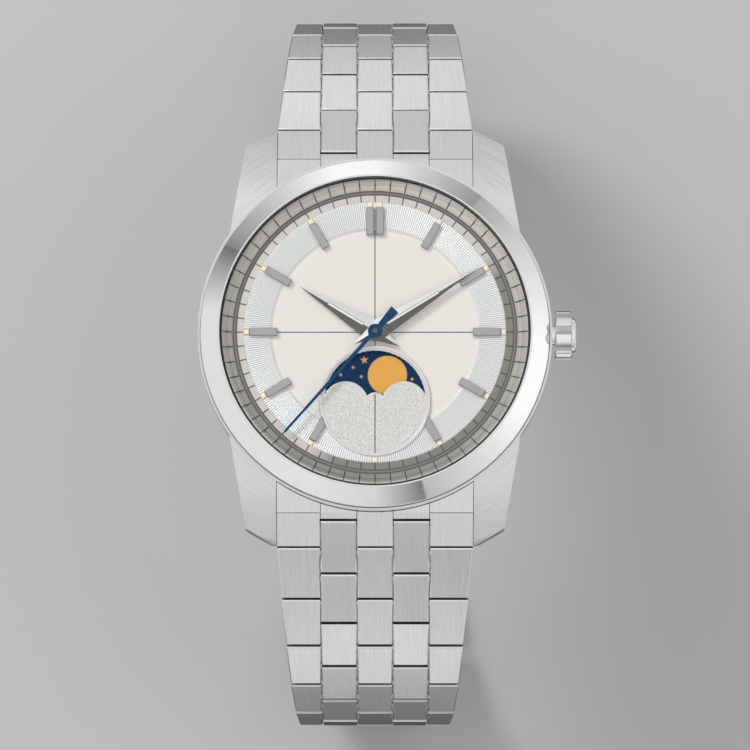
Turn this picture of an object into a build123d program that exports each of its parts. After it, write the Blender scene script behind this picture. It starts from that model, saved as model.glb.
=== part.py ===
from build123d import *
import math
import os

# A round wristwatch on a closed five-column steel bracelet. Millimetres. The origin is the centre of the case
# back's outer face, +Z comes out through the dial, +Y points at 12 o'clock and +X at the crown.

os.makedirs("parts", exist_ok=True)

# Shared fits
overrun = 5.0
running_gap = 0.04
seat_gap = 0.02
edge_chamfer = 0.12

# Case back and rotor, stacked up from the wrist
window_thickness = 0.8
back_ring_height = 1.05
rotor_gap = 0.12
rotor_rim_height = 0.65
rotor_web_thickness = 0.25
bridge_gap = 0.13
bridge_thickness = 0.45
wheel_thickness = 0.13
wheel_gap = 0.10
drum_height = 0.75
plate_gap = 0.15
plate_thickness = 1.0
dial_gap = 0.18
dial_thickness = 0.4

# Levels of the movement that follow from that stack
rotor_bottom = back_ring_height + rotor_gap
rotor_top = rotor_bottom + rotor_rim_height
bridge_bottom = rotor_top + bridge_gap
bridge_top = bridge_bottom + bridge_thickness
wheel_pitch = wheel_thickness + wheel_gap
fourth_level = bridge_top + wheel_gap / 2
third_level = fourth_level + wheel_pitch
centre_level = third_level + wheel_pitch
drum_level = centre_level + wheel_pitch
plate_bottom = drum_level + drum_height + plate_gap
plate_top = plate_bottom + plate_thickness
minute_level = plate_top + wheel_gap
hour_level = minute_level + wheel_pitch
moon_level = hour_level + wheel_pitch
dial_bottom = moon_level + wheel_thickness + dial_gap
dial_top = dial_bottom + dial_thickness
stem_level = (bridge_top + plate_bottom) / 2

# Case
case_radius = 18.0
interior_radius = 15.3
collar_radius = 16.0
back_ring_radius = 15.8
back_window_radius = 12.0
back_lip = 0.4
band_drop = 1.3
band_bottom = 0.7
band_bevel = 0.8
seat_height = 0.75
band_top = dial_top - band_drop
crystal_seat = dial_top + seat_height

# Bezel and crystal
bezel_radius = 17.7
bezel_edge_drop = 0.6
bezel_inner_rise = 1.65
crystal_radius = 15.6
crystal_clearance = 0.12
crystal_side_rise = 2.2
crystal_bevel = 0.45
crystal_crown_rise = 3.1
crystal_skirt = 0.9
crystal_underside_rise = 1.3
crystal_underside_crown = 1.6
gasket_thickness = 0.08

# Flange ring
flange_inner_radius = 14.4
flange_land = 0.2

# Lugs
lug_spacing = 20.0
lug_tip = 21.4
lug_shoulder_x = 13.15
lug_shoulder_y = 19.6
lug_root_x = 14.7
lug_root_y = 10.6
lug_start_y = 6.0
lug_arc_start = 11.0
lug_arc_radius = 18.5
lug_tip_drop = 2.0
lug_tip_slant = 0.4
lug_heel_y = 17.3
lug_fit = 0.05

# Crown
crown_radius = 2.5
crown_start = 18.26
crown_length = 1.74
crown_cap_radius = 1.75
crown_cap_length = 0.4
crown_flutes = 8
crown_flute_radius = 0.8
crown_flute_depth = 0.25
crown_flute_turn = 30.0
crown_cavity_radius = 1.3
crown_floor = 0.4
crown_edge = 0.15
tube_radius = 0.95
tube_start = 15.6
tube_reach = 19.1
stem_radius = 0.5
stem_start = 8.6
seal_width = 0.3
seal_fit = 0.02
crown_pull = 1.2

# Dial
dial_radius = 15.2
dial_hole = 0.85
moon_axis = 7.0
moon_plate_radius = 5.6
moon_plate_rise = 0.18
moon_plug_radius = 5.35
moon_window_radius = 5.12
moon_rim_width = 0.3
moon_rim_height = 0.1
hump_radius = 2.32
hump_offset = 2.96
hump_drop = 0.32
bump_radius = 1.11
bump_drop = 0.24
foot_radius = 0.3
foot_place = 11.5

# Hour markers
marker_inner = 9.92
marker_outer = 12.7
marker_width = 0.77
marker_height = 0.42
marker_pair_offset = 0.5
lume_size = 0.56
lume_height = 0.15

# Hands
hand_thickness = 0.12
hour_hand_rise = 0.4
minute_hand_rise = 0.7
seconds_hand_rise = 1.0
hour_hand_angle = 301.1
hour_hand_length = 8.95
hour_hand_tail = 2.9
hour_hand_half_width = 1.08
hour_hand_shoulder = 0.6
minute_hand_angle = 58.4
minute_hand_length = 12.0
minute_hand_tail = 2.5
minute_hand_half_width = 1.0
minute_hand_shoulder = 0.7
seconds_hand_angle = 221.6
seconds_hand_length = 13.7
seconds_hand_tail = 2.97
seconds_hub_radius = 0.68
seconds_root_width = 0.4
seconds_tip_width = 0.24
seconds_tail_root_width = 0.55
seconds_tail_width = 0.86

# Movement
movement_radius = 13.0
movement_wall = 0.8
seconds_arbor_radius = 0.12
centre_bore = 0.16
centre_pipe_radius = 0.3
cannon_pipe_radius = 0.5
hour_pipe_radius = 0.72
arbor_radius = 0.14
pivot_depth = 0.2
post_radius = 0.25
moon_post_radius = 0.35
train_distance = 4.0
third_angle = 200.0
barrel_module = 0.14
barrel_angle = 110.0
drum_radius = 4.6
drum_edge = 0.25
escape_module = 0.105
escape_angle = -60.0
escape_radius = 1.8
fork_turn = -50.0
fork_distance = 2.3
staff_distance = 2.9
balance_radius = 2.5
balance_rim = 0.35
balance_height = 0.3
motion_module = 0.12
motion_angle = 60.0
ratchet_module = 0.085
rotor_radius = 12.6
rotor_rim_width = 2.6
rotor_hub_radius = 1.9
rotor_post_radius = 0.9
hairspring_turns = 6
hairspring_width = 0.07
hairspring_height = 0.1
hairspring_inner = 0.4
hairspring_outer = 1.6

# Bracelet
link_thickness = 2.6
pin_spacing = 3.63
bar_gap = 0.12
pin_radius = 0.45
pin_cover = 1.0
centre_width = 3.6
inner_width = 3.65
column_gap = 0.08
clasp_width = 16.0
taper_rows = 5
link_rows = 9
end_gap_y = 21.5
end_gap_drop = 4.74
end_slope = 30.3
crease_y = 18.1
end_start_y = 14.5
end_start_slope = 20.0
end_wall = 0.2
first_row_angle = 37.5
row_angle_start = 48.1
row_angle_rate = 4.2
row_angle_growth = 1.1
row_angle_curl = 22.0
end_opening = 8.0
relief_angle = 3.0
first_bar_reach = 0.85
spring_bar_y = 18.55
spring_bar_z = -0.6
spring_bar_radius = 0.4
spring_bar_seat = 1.2

# Clasp
cover_plate = 0.8
cover_wall = 0.8
cover_bulge = 0.6
blade_thickness = 0.7
blade_gap = 0.15
blade_half_width = 6.3
knuckle_radius = 0.65
knuckle_half_width = 3.1
clasp_pin_radius = 0.35
clasp_pin_inset = 4.6
prong_reach = 1.0
button_length = 4.0
button_height = 1.2
button_travel = 0.4
button_stand = 0.6
button_clearance = 0.06
button_flange = 0.5
knuckle_lift = 0.02
button_offset = 9.0


def polar(radius, angle):
    """The point at this radius and this angle from +X."""
    return (radius * math.cos(math.radians(angle)), radius * math.sin(math.radians(angle)))


def clock(radius, angle, across=0.0):
    """The point at this radius and clockwise angle from 12 o'clock, moved sideways."""
    turn = math.radians(angle)
    x = radius * math.sin(turn) + across * math.cos(turn)
    y = radius * math.cos(turn) - across * math.sin(turn)
    return (x, y)


def save(shape, name):
    """Label a finished piece and write its file."""
    shape.label = name
    export_step(shape, f"parts/{name}.step")


# Gears
tooth_share = 0.17
tip_share = 0.08
root_share = 0.24
addendum_share = 0.9
dedendum_share = 1.2


def gear_points(centre, teeth, module, phase):
    """Corners of a gear with slender straight-sided teeth, one of them centred on the phase angle."""
    pitch_radius = module * teeth / 2
    pitch_angle = 360 / teeth
    steps = [
        (pitch_radius - dedendum_share * module, -root_share),
        (pitch_radius, -tooth_share),
        (pitch_radius + addendum_share * module, -tip_share),
        (pitch_radius + addendum_share * module, tip_share),
        (pitch_radius, tooth_share),
        (pitch_radius - dedendum_share * module, root_share),
    ]
    points = []
    for tooth in range(teeth):
        for radius, share in steps:
            x, y = polar(radius, phase + (tooth + share) * pitch_angle)
            points.append((centre[0] + x, centre[1] + y))
    return points


def add_gear(centre, teeth, module, phase=0.0):
    """Add a gear's outline to the open sketch."""
    Polygon(*gear_points(centre, teeth, module, phase), align=None)


def mesh_phase(teeth, towards):
    """The phase that puts a gap between teeth on the line towards the driving wheel."""
    return towards + 180 / teeth


# Tooth counts of the train, the motion work and the winding wheel
barrel_teeth = 72
centre_leaves = 12
centre_teeth = 64
third_leaves = 8
third_teeth = 60
fourth_leaves = 8
fourth_teeth = 70
escape_leaves = 7
escape_teeth = 15
cannon_leaves = 12
minute_teeth = 36
minute_leaves = 10
hour_teeth = 40
ratchet_teeth = 45
moon_teeth = 59

# Axes of the movement
centre_module = 2 * train_distance / (centre_teeth + third_leaves)
third_module = 2 * train_distance / (third_teeth + fourth_leaves)
third_axis = polar(train_distance, third_angle)
barrel_distance = barrel_module * (barrel_teeth + centre_leaves) / 2
barrel_axis = polar(barrel_distance, barrel_angle)
escape_distance = escape_module * (fourth_teeth + escape_leaves) / 2
escape_axis = polar(escape_distance, escape_angle)
fork_step = polar(fork_distance, fork_turn)
fork_axis = (escape_axis[0] + fork_step[0], escape_axis[1] + fork_step[1])
staff_step = polar(staff_distance, fork_turn)
staff_axis = (fork_axis[0] + staff_step[0], fork_axis[1] + staff_step[1])
motion_distance = motion_module * (cannon_leaves + minute_teeth) / 2
hour_module = 2 * motion_distance / (minute_leaves + hour_teeth)
minute_axis = polar(motion_distance, motion_angle)

# Case middle
lug_low = -lug_tip_drop
lug_tip_fall = lug_arc_radius - math.sqrt(lug_arc_radius**2 - (lug_tip - lug_arc_start) ** 2)
lug_tip_top = band_top - lug_tip_fall
lug_mid_y = (lug_arc_start + lug_tip) / 2
lug_mid_fall = lug_arc_radius - math.sqrt(lug_arc_radius**2 - (lug_mid_y - lug_arc_start) ** 2)

with BuildPart() as lug:
    with BuildSketch(Plane.XY.offset(lug_low)):
        Polygon(
            (lug_spacing / 2, lug_start_y),
            (lug_spacing / 2, lug_tip),
            (lug_shoulder_x, lug_shoulder_y),
            (lug_root_x, lug_root_y),
            (lug_root_x, lug_start_y),
            align=None,
        )
    extrude(amount=band_top - lug_low)
    with BuildSketch(Plane.YZ):
        with BuildLine():
            Line((lug_start_y, band_top), (lug_arc_start, band_top))
            ThreePointArc(
                (lug_arc_start, band_top),
                (lug_mid_y, band_top - lug_mid_fall),
                (lug_tip, lug_tip_top),
            )
            Polyline(
                (lug_tip, lug_tip_top),
                (lug_tip - lug_tip_slant, lug_low + band_bottom),
                (lug_heel_y, lug_low + band_bottom),
                (lug_start_y + band_top, band_bottom),
                (lug_start_y, band_bottom),
                (lug_start_y, band_top),
            )
        make_face()
    extrude(amount=case_radius, both=True, mode=Mode.INTERSECT)

with BuildPart() as case_middle:
    with BuildSketch(Plane.XZ):
        Polygon(
            (case_radius, band_top),
            (case_radius, band_bottom + band_bevel),
            (case_radius - band_bevel, band_bottom),
            (0, band_bottom),
            (0, crystal_seat),
            (collar_radius, crystal_seat),
            (collar_radius, band_top),
            align=None,
        )
    revolve(axis=Axis.Z)
    add(lug.part)
    add(lug.part.mirror(Plane.YZ))
    add(lug.part.mirror(Plane.XZ))
    add(lug.part.mirror(Plane.XZ).mirror(Plane.YZ))
    with BuildSketch(Plane.XY.offset(back_ring_height)):
        Circle(interior_radius)
    extrude(amount=crystal_seat, mode=Mode.SUBTRACT)
    with BuildSketch(Plane.XY.offset(back_ring_height)):
        Circle(back_ring_radius + seat_gap)
    extrude(amount=-overrun, mode=Mode.SUBTRACT)
    with BuildSketch(Plane.YZ.offset(interior_radius - overrun)):
        with Locations((0, stem_level)):
            Circle(tube_radius + seat_gap)
    extrude(amount=2 * overrun, mode=Mode.SUBTRACT)
    with BuildSketch(Plane.YZ):
        for side in (1, -1):
            with Locations((side * spring_bar_y, spring_bar_z)):
                Circle(spring_bar_radius + seat_gap)
    extrude(amount=lug_spacing / 2 + spring_bar_seat, both=True, mode=Mode.SUBTRACT)
save(case_middle.part, "case_middle")

# Bezel
bezel_bore = crystal_radius + crystal_clearance
with BuildPart() as bezel:
    with BuildSketch(Plane.XZ):
        Polygon(
            (collar_radius + seat_gap, band_top),
            (bezel_radius, band_top),
            (bezel_radius, dial_top - bezel_edge_drop),
            (bezel_bore, dial_top + bezel_inner_rise),
            (bezel_bore, crystal_seat),
            (collar_radius + seat_gap, crystal_seat),
            align=None,
        )
    revolve(axis=Axis.Z)
save(bezel.part, "bezel")

# Crystal gasket, a thin L-shaped ring under and around the crystal
gasket_top = crystal_seat + (bezel_inner_rise - seat_height) / 2
with BuildPart() as crystal_gasket:
    with BuildSketch(Plane.XZ):
        Polygon(
            (interior_radius, crystal_seat),
            (bezel_bore - seat_gap, crystal_seat),
            (bezel_bore - seat_gap, gasket_top),
            (crystal_radius + seat_gap, gasket_top),
            (crystal_radius + seat_gap, crystal_seat + gasket_thickness),
            (interior_radius, crystal_seat + gasket_thickness),
            align=None,
        )
    revolve(axis=Axis.Z)
save(crystal_gasket.part, "crystal_gasket")

# Crystal, bevelled at the rim and domed on both faces
skirt_radius = crystal_radius - crystal_skirt
crystal_bottom = crystal_seat + gasket_thickness
crystal_side_top = dial_top + crystal_side_rise
crystal_face_radius = crystal_radius - crystal_bevel
crystal_face_edge = crystal_side_top + crystal_bevel
crystal_top = dial_top + crystal_crown_rise


def dome_middle(radius, edge_height, crown_height):
    """The point halfway along the round dome from the axis to a rim."""
    rise = crown_height - edge_height
    sphere_radius = (radius**2 + rise**2) / (2 * rise)
    half_turn = math.asin(radius / sphere_radius) / 2
    return (sphere_radius * math.sin(half_turn), crown_height - sphere_radius * (1 - math.cos(half_turn)))


with BuildPart() as crystal:
    with BuildSketch(Plane.XZ):
        with BuildLine():
            Polyline(
                (skirt_radius, dial_top + crystal_underside_rise),
                (skirt_radius, crystal_bottom),
                (crystal_radius, crystal_bottom),
                (crystal_radius, crystal_side_top),
                (crystal_face_radius, crystal_face_edge),
            )
            ThreePointArc(
                (crystal_face_radius, crystal_face_edge),
                dome_middle(crystal_face_radius, crystal_face_edge, crystal_top),
                (0, crystal_top),
            )
            Line((0, crystal_top), (0, dial_top + crystal_underside_crown))
            ThreePointArc(
                (0, dial_top + crystal_underside_crown),
                dome_middle(skirt_radius, dial_top + crystal_underside_rise, dial_top + crystal_underside_crown),
                (skirt_radius, dial_top + crystal_underside_rise),
            )
        make_face()
    revolve(axis=Axis.Z)
save(crystal.part, "crystal")

# Flange ring, slanted down to the dial
with BuildPart() as flange_ring:
    with BuildSketch(Plane.XZ):
        Polygon(
            (flange_inner_radius, dial_top),
            (interior_radius - seat_gap, dial_top),
            (interior_radius - seat_gap, crystal_seat),
            (interior_radius - flange_land, crystal_seat),
            align=None,
        )
    revolve(axis=Axis.Z)
save(flange_ring.part, "flange_ring")

# Case back: a ring with wrench notches, and a window pressed in against its inner shoulder
notch_radius = (back_ring_radius + back_window_radius) / 2
with BuildPart() as case_back_ring:
    with BuildSketch():
        Circle(back_ring_radius)
        Circle(back_window_radius - back_lip, mode=Mode.SUBTRACT)
    extrude(amount=back_ring_height)
    with BuildSketch(Plane.XY.offset(window_thickness + seat_gap)):
        Circle(back_window_radius + seat_gap)
    extrude(amount=-overrun, mode=Mode.SUBTRACT)
    with BuildSketch():
        with PolarLocations(notch_radius, 6):
            Rectangle(2 * notch_radius - 2 * back_window_radius, foot_radius * 3)
    extrude(amount=back_ring_height / 3, mode=Mode.SUBTRACT)
save(case_back_ring.part, "case_back_ring")

with BuildPart() as case_back_window:
    with BuildSketch():
        Circle(back_window_radius)
    extrude(amount=window_thickness)
save(case_back_window.part, "case_back_window")

# Crown, its tube, its seal and the winding stem, all on an axis along +X
crown_end = crown_start + crown_length
cavity_floor = crown_end - crown_floor
flute_centre = crown_radius + crown_flute_radius - crown_flute_depth
with BuildPart() as crown:
    with BuildSketch(Plane.YZ.offset(crown_start)):
        with Locations((0, stem_level)):
            Circle(crown_radius)
    extrude(amount=crown_length)
    chamfer(crown.edges().filter_by(GeomType.CIRCLE), crown_edge)
    with BuildSketch(Plane.YZ.offset(crown_end)):
        with Locations((0, stem_level)):
            Circle(crown_cap_radius)
    extrude(amount=crown_cap_length)
    chamfer(crown.edges().filter_by(GeomType.CIRCLE).sort_by(Axis.X)[-1], crown_edge)
    with BuildSketch(Plane.YZ.offset(crown_start - crown_edge)):
        with Locations((0, stem_level)):
            with PolarLocations(flute_centre, crown_flutes, start_angle=90 - crown_flute_turn + 180 / crown_flutes):
                Circle(crown_flute_radius)
    extrude(amount=crown_length + 2 * crown_edge, mode=Mode.SUBTRACT)
    with BuildSketch(Plane.YZ.offset(crown_start)):
        with Locations((0, stem_level)):
            Circle(crown_cavity_radius)
    extrude(amount=cavity_floor - crown_start, mode=Mode.SUBTRACT)
    with BuildSketch(Plane.YZ.offset(cavity_floor)):
        with Locations((0, stem_level)):
            Circle(stem_radius + seat_gap)
    extrude(amount=crown_floor, mode=Mode.SUBTRACT)
save(crown.part, "crown")

with BuildPart() as crown_tube:
    with BuildSketch(Plane.YZ.offset(tube_start)):
        with Locations((0, stem_level)):
            Circle(tube_radius)
            Circle(stem_radius + running_gap, mode=Mode.SUBTRACT)
    extrude(amount=tube_reach - tube_start)
save(crown_tube.part, "crown_tube")

seal_start = tube_reach - 2 * seal_width
with BuildPart() as stem_seal:
    with BuildSketch(Plane.YZ.offset(seal_start)):
        with Locations((0, stem_level)):
            Circle(crown_cavity_radius - seal_fit)
            Circle(tube_radius + seal_fit, mode=Mode.SUBTRACT)
    extrude(amount=seal_width)
save(stem_seal.part, "stem_seal")

with BuildPart() as winding_stem:
    with BuildSketch(Plane.YZ.offset(stem_start)):
        with Locations((0, stem_level)):
            Circle(stem_radius)
    extrude(amount=cavity_floor + crown_floor - seat_gap - stem_start)
save(winding_stem.part, "winding_stem")

# Movement ring between the movement and the case
with BuildPart() as movement_ring:
    with BuildSketch(Plane.XY.offset(back_ring_height)):
        Circle(interior_radius - seat_gap)
        Circle(movement_radius + seat_gap, mode=Mode.SUBTRACT)
    extrude(amount=dial_bottom - back_ring_height)
    with BuildSketch(Plane.YZ.offset(movement_radius - overrun)):
        with Locations((0, stem_level)):
            Circle(tube_radius + seat_gap)
    extrude(amount=2 * overrun, mode=Mode.SUBTRACT)
save(movement_ring.part, "movement_ring")

# Dial and the window plate over the moon disc
with BuildPart() as dial_plate:
    with BuildSketch(Plane.XY.offset(dial_bottom)):
        Circle(dial_radius)
        Circle(dial_hole, mode=Mode.SUBTRACT)
        with Locations((0, -moon_axis)):
            Circle(moon_plug_radius, mode=Mode.SUBTRACT)
    extrude(amount=dial_thickness)
    with BuildSketch(Plane.XY.offset(dial_bottom)):
        for side in (1, -1):
            with Locations((side * foot_place, 0)):
                Circle(foot_radius)
    extrude(amount=plate_top - plate_thickness / 2 - dial_bottom)
save(dial_plate.part, "dial_plate")

window_corner_y = -moon_axis - hump_drop
with BuildPart() as moon_window_plate:
    with BuildSketch(Plane.XY.offset(dial_bottom + dial_gap / 2)):
        with Locations((0, -moon_axis)):
            Circle(moon_plug_radius - seat_gap)
    extrude(amount=dial_top - dial_bottom - dial_gap / 2)
    with BuildSketch(Plane.XY.offset(dial_top)):
        with Locations((0, -moon_axis)):
            Circle(moon_plate_radius)
    extrude(amount=moon_plate_rise)
    with BuildSketch(Plane.XY.offset(dial_top + moon_plate_rise - moon_rim_height)):
        with Locations((0, -moon_axis)):
            Circle(moon_plate_radius - moon_rim_width)
    extrude(amount=moon_rim_height, mode=Mode.SUBTRACT)
    with BuildSketch(Plane.XY.offset(dial_bottom)):
        with Locations((0, -moon_axis)):
            Circle(moon_window_radius)
        with Locations((0, window_corner_y - moon_plate_radius)):
            Rectangle(2 * moon_plate_radius, 2 * moon_plate_radius, mode=Mode.SUBTRACT)
        for side in (1, -1):
            with Locations((side * hump_offset, window_corner_y)):
                Circle(hump_radius, mode=Mode.SUBTRACT)
        with Locations((0, -moon_axis - bump_drop)):
            Circle(bump_radius, mode=Mode.SUBTRACT)
    extrude(amount=overrun, mode=Mode.SUBTRACT)
save(moon_window_plate.part, "moon_window_plate")

# Hour markers: facetted bars and a luminous square outside each
lume_radius = marker_outer + lume_size / 2
with BuildPart() as hour_markers:
    for hour in range(1, 13):
        angle = 30 * hour
        offsets = [0.0]
        if hour == 12:
            offsets = [-marker_pair_offset, marker_pair_offset]
        if hour == 6:
            offsets = []
        for offset in offsets:
            with BuildSketch(Plane.XY.offset(dial_top)):
                with Locations(Location(clock((marker_inner + marker_outer) / 2, angle, offset), -angle)):
                    Rectangle(marker_width, marker_outer - marker_inner)
            extrude(amount=marker_height)
        with BuildSketch(Plane.XY.offset(dial_top)):
            with Locations(Location(clock(lume_radius + seat_gap, angle), -angle)):
                Rectangle(lume_size, lume_size)
        extrude(amount=lume_height)
    with BuildSketch(Plane.XY.offset(dial_top)):
        with Locations((0, -moon_axis)):
            Circle(moon_plate_radius + seat_gap)
    extrude(amount=marker_height, mode=Mode.SUBTRACT)
save(hour_markers.part, "hour_markers")


def add_hand(angle, length, tail, half_width, shoulder):
    """Add a pointed four-sided hand to the open sketch."""
    Polygon(
        clock(length, angle),
        clock(shoulder, angle, half_width),
        clock(-tail, angle),
        clock(shoulder, angle, -half_width),
        align=None,
    )


# Hour hand on the hour wheel's pipe
hour_hand_level = dial_top + hour_hand_rise
minute_hand_level = dial_top + minute_hand_rise
seconds_hand_level = dial_top + seconds_hand_rise
hour_bore = cannon_pipe_radius + running_gap
minute_to_centre = motion_angle + 180
with BuildPart() as hour_hand:
    with BuildSketch(Plane.XY.offset(hour_hand_level)):
        add_hand(hour_hand_angle, hour_hand_length, hour_hand_tail, hour_hand_half_width, hour_hand_shoulder)
        Circle(hour_pipe_radius + seat_gap, mode=Mode.SUBTRACT)
    extrude(amount=hand_thickness)
    with BuildSketch(Plane.XY.offset(hour_level)):
        add_gear((0, 0), hour_teeth, hour_module, motion_angle)
        Circle(hour_bore, mode=Mode.SUBTRACT)
    extrude(amount=wheel_thickness)
    with BuildSketch(Plane.XY.offset(hour_level)):
        Circle(hour_pipe_radius)
        Circle(hour_bore, mode=Mode.SUBTRACT)
    extrude(amount=hour_hand_level + hand_thickness - hour_level)
save(hour_hand.part, "hour_hand")

# Minute hand on the cannon pinion
cannon_bore = centre_pipe_radius + running_gap
with BuildPart() as minute_hand:
    with BuildSketch(Plane.XY.offset(minute_hand_level)):
        add_hand(
            minute_hand_angle,
            minute_hand_length,
            minute_hand_tail,
            minute_hand_half_width,
            minute_hand_shoulder,
        )
        Circle(cannon_pipe_radius + seat_gap, mode=Mode.SUBTRACT)
    extrude(amount=hand_thickness)
    with BuildSketch(Plane.XY.offset(minute_level)):
        add_gear((0, 0), cannon_leaves, motion_module, motion_angle)
        Circle(cannon_bore, mode=Mode.SUBTRACT)
    extrude(amount=wheel_thickness)
    with BuildSketch(Plane.XY.offset(minute_level)):
        Circle(cannon_pipe_radius)
        Circle(cannon_bore, mode=Mode.SUBTRACT)
    extrude(amount=minute_hand_level + hand_thickness - minute_level)
save(minute_hand.part, "minute_hand")

# Seconds hand, pressed on the fourth wheel's long arbor
with BuildPart() as seconds_hand:
    with BuildSketch(Plane.XY.offset(seconds_hand_level)):
        Polygon(
            clock(0, seconds_hand_angle, seconds_root_width / 2),
            clock(seconds_hand_length, seconds_hand_angle, seconds_tip_width / 2),
            clock(seconds_hand_length, seconds_hand_angle, -seconds_tip_width / 2),
            clock(0, seconds_hand_angle, -seconds_root_width / 2),
            align=None,
        )
        Polygon(
            clock(0, seconds_hand_angle, seconds_tail_root_width / 2),
            clock(-seconds_hand_tail, seconds_hand_angle, seconds_tail_width / 2),
            clock(-seconds_hand_tail, seconds_hand_angle, -seconds_tail_width / 2),
            clock(0, seconds_hand_angle, -seconds_tail_root_width / 2),
            align=None,
        )
        Circle(seconds_hub_radius)
        Circle(seconds_arbor_radius + seat_gap, mode=Mode.SUBTRACT)
    extrude(amount=hand_thickness)
save(seconds_hand.part, "seconds_hand")

# Moon disc on its post
moon_module = 2 * moon_window_radius / (moon_teeth - 2)
with BuildPart() as moon_disc:
    with BuildSketch(Plane.XY.offset(moon_level)):
        add_gear((0, -moon_axis), moon_teeth, moon_module)
        with Locations((0, -moon_axis)):
            Circle(moon_post_radius + running_gap, mode=Mode.SUBTRACT)
    extrude(amount=wheel_thickness)
save(moon_disc.part, "moon_disc")

# Main plate with its wall, stem guide, posts and pivot holes
guide_length = 2 * crown_pull
guide_width = 4 * stem_radius
with BuildPart() as main_plate:
    with BuildSketch(Plane.XY.offset(bridge_top)):
        Circle(movement_radius)
    extrude(amount=plate_top - bridge_top)
    with BuildSketch(Plane.XY.offset(bridge_top)):
        Circle(movement_radius - movement_wall)
    extrude(amount=plate_bottom - bridge_top, mode=Mode.SUBTRACT)
    with BuildSketch(Plane.XY.offset(plate_bottom)):
        with Locations((stem_start + guide_length / 2, 0)):
            Rectangle(guide_length, guide_width)
    extrude(amount=bridge_top + wheel_gap - plate_bottom)
    with BuildSketch(Plane.YZ.offset(stem_start - overrun)):
        with Locations((0, stem_level)):
            Circle(stem_radius + running_gap)
    extrude(amount=movement_radius + overrun, mode=Mode.SUBTRACT)
    with BuildSketch(Plane.XY.offset(plate_top)):
        with Locations((0, -moon_axis)):
            Circle(moon_post_radius)
    extrude(amount=moon_level + wheel_thickness - plate_top)
    with BuildSketch(Plane.XY.offset(plate_top)):
        with Locations(minute_axis):
            Circle(post_radius)
    extrude(amount=hour_level + wheel_thickness - plate_top)
    with BuildSketch(Plane.XY.offset(plate_bottom)):
        Circle(centre_pipe_radius + running_gap)
    extrude(amount=plate_thickness, mode=Mode.SUBTRACT)
    with BuildSketch(Plane.XY.offset(plate_bottom)):
        for axis in (third_axis, barrel_axis, escape_axis, fork_axis, staff_axis):
            with Locations(axis):
                Circle(arbor_radius + running_gap)
    extrude(amount=pivot_depth + running_gap, mode=Mode.SUBTRACT)
    with BuildSketch(Plane.XY.offset(plate_top)):
        for side in (1, -1):
            with Locations((side * foot_place, 0)):
                Circle(foot_radius + seat_gap)
    extrude(amount=-plate_thickness / 2 - seat_gap, mode=Mode.SUBTRACT)
save(main_plate.part, "main_plate")

# Train bridge, open where the balance turns, with the rotor's post on its outer face
cock_width = 4 * arbor_radius + balance_radius / 2
staff_angle = math.degrees(math.atan2(staff_axis[1], staff_axis[0]))
balance_opening = balance_radius + rotor_gap
with BuildPart() as train_bridge:
    with BuildSketch(Plane.XY.offset(bridge_bottom)):
        Circle(movement_radius)
        with Locations(staff_axis):
            Circle(balance_opening, mode=Mode.SUBTRACT)
        with Locations(Location(polar(movement_radius, staff_angle), staff_angle)):
            Rectangle(2 * balance_opening, cock_width + 2 * running_gap, mode=Mode.SUBTRACT)
    extrude(amount=bridge_thickness)
    with BuildSketch(Plane.XY.offset(bridge_bottom)):
        Circle(rotor_post_radius)
    extrude(amount=rotor_bottom - bridge_bottom)
    with BuildSketch(Plane.XY.offset(bridge_top)):
        for axis in ((0, 0), third_axis, barrel_axis, escape_axis, fork_axis):
            with Locations(axis):
                Circle(arbor_radius + running_gap)
    extrude(amount=-pivot_depth - running_gap, mode=Mode.SUBTRACT)
save(train_bridge.part, "train_bridge")

with BuildPart() as balance_cock:
    with BuildSketch(Plane.XY.offset(bridge_bottom)):
        with Locations(Location(polar(movement_radius, staff_angle), staff_angle)):
            Rectangle(2 * balance_opening, cock_width)
        with Locations(staff_axis):
            Circle(cock_width / 2)
        Circle(movement_radius, mode=Mode.INTERSECT)
    extrude(amount=bridge_thickness)
    with BuildSketch(Plane.XY.offset(bridge_top)):
        with Locations(staff_axis):
            Circle(arbor_radius + running_gap)
    extrude(amount=-pivot_depth - running_gap, mode=Mode.SUBTRACT)
save(balance_cock.part, "balance_cock")


def add_arbor(centre, bottom, top, radius=arbor_radius):
    """Add a plain round arbor to the open part."""
    with BuildSketch(Plane.XY.offset(bottom)) as section:
        with Locations(centre):
            Circle(radius)
    extrude(section.sketch, amount=top - bottom)


def add_wheel(centre, teeth, module, phase, level, height=wheel_thickness):
    """Add a toothed disc to the open part."""
    with BuildSketch(Plane.XY.offset(level)) as outline:
        add_gear(centre, teeth, module, phase)
    extrude(outline.sketch, amount=height)


pivot_low = bridge_top - pivot_depth
pivot_high = plate_bottom + pivot_depth
leaf_height = wheel_pitch + wheel_thickness

with BuildPart() as barrel:
    add_arbor(barrel_axis, drum_level, drum_level + drum_height, drum_radius)
    add_wheel(barrel_axis, barrel_teeth, barrel_module, barrel_angle + 180, drum_level + drum_edge, drum_edge)
    add_arbor(barrel_axis, pivot_low, pivot_high)
save(barrel.part, "barrel")

# Centre wheel, a pipe that the fourth wheel's arbor runs through
with BuildPart() as centre_wheel:
    add_wheel((0, 0), centre_teeth, centre_module, third_angle, centre_level)
    add_wheel((0, 0), centre_leaves, barrel_module, mesh_phase(centre_leaves, barrel_angle), drum_level, 2 * drum_edge)
    add_arbor((0, 0), centre_level, minute_hand_level, centre_pipe_radius)
    with BuildSketch(Plane.XY.offset(centre_level)):
        Circle(centre_bore)
    extrude(amount=minute_hand_level - centre_level, mode=Mode.SUBTRACT)
save(centre_wheel.part, "centre_wheel")

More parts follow.
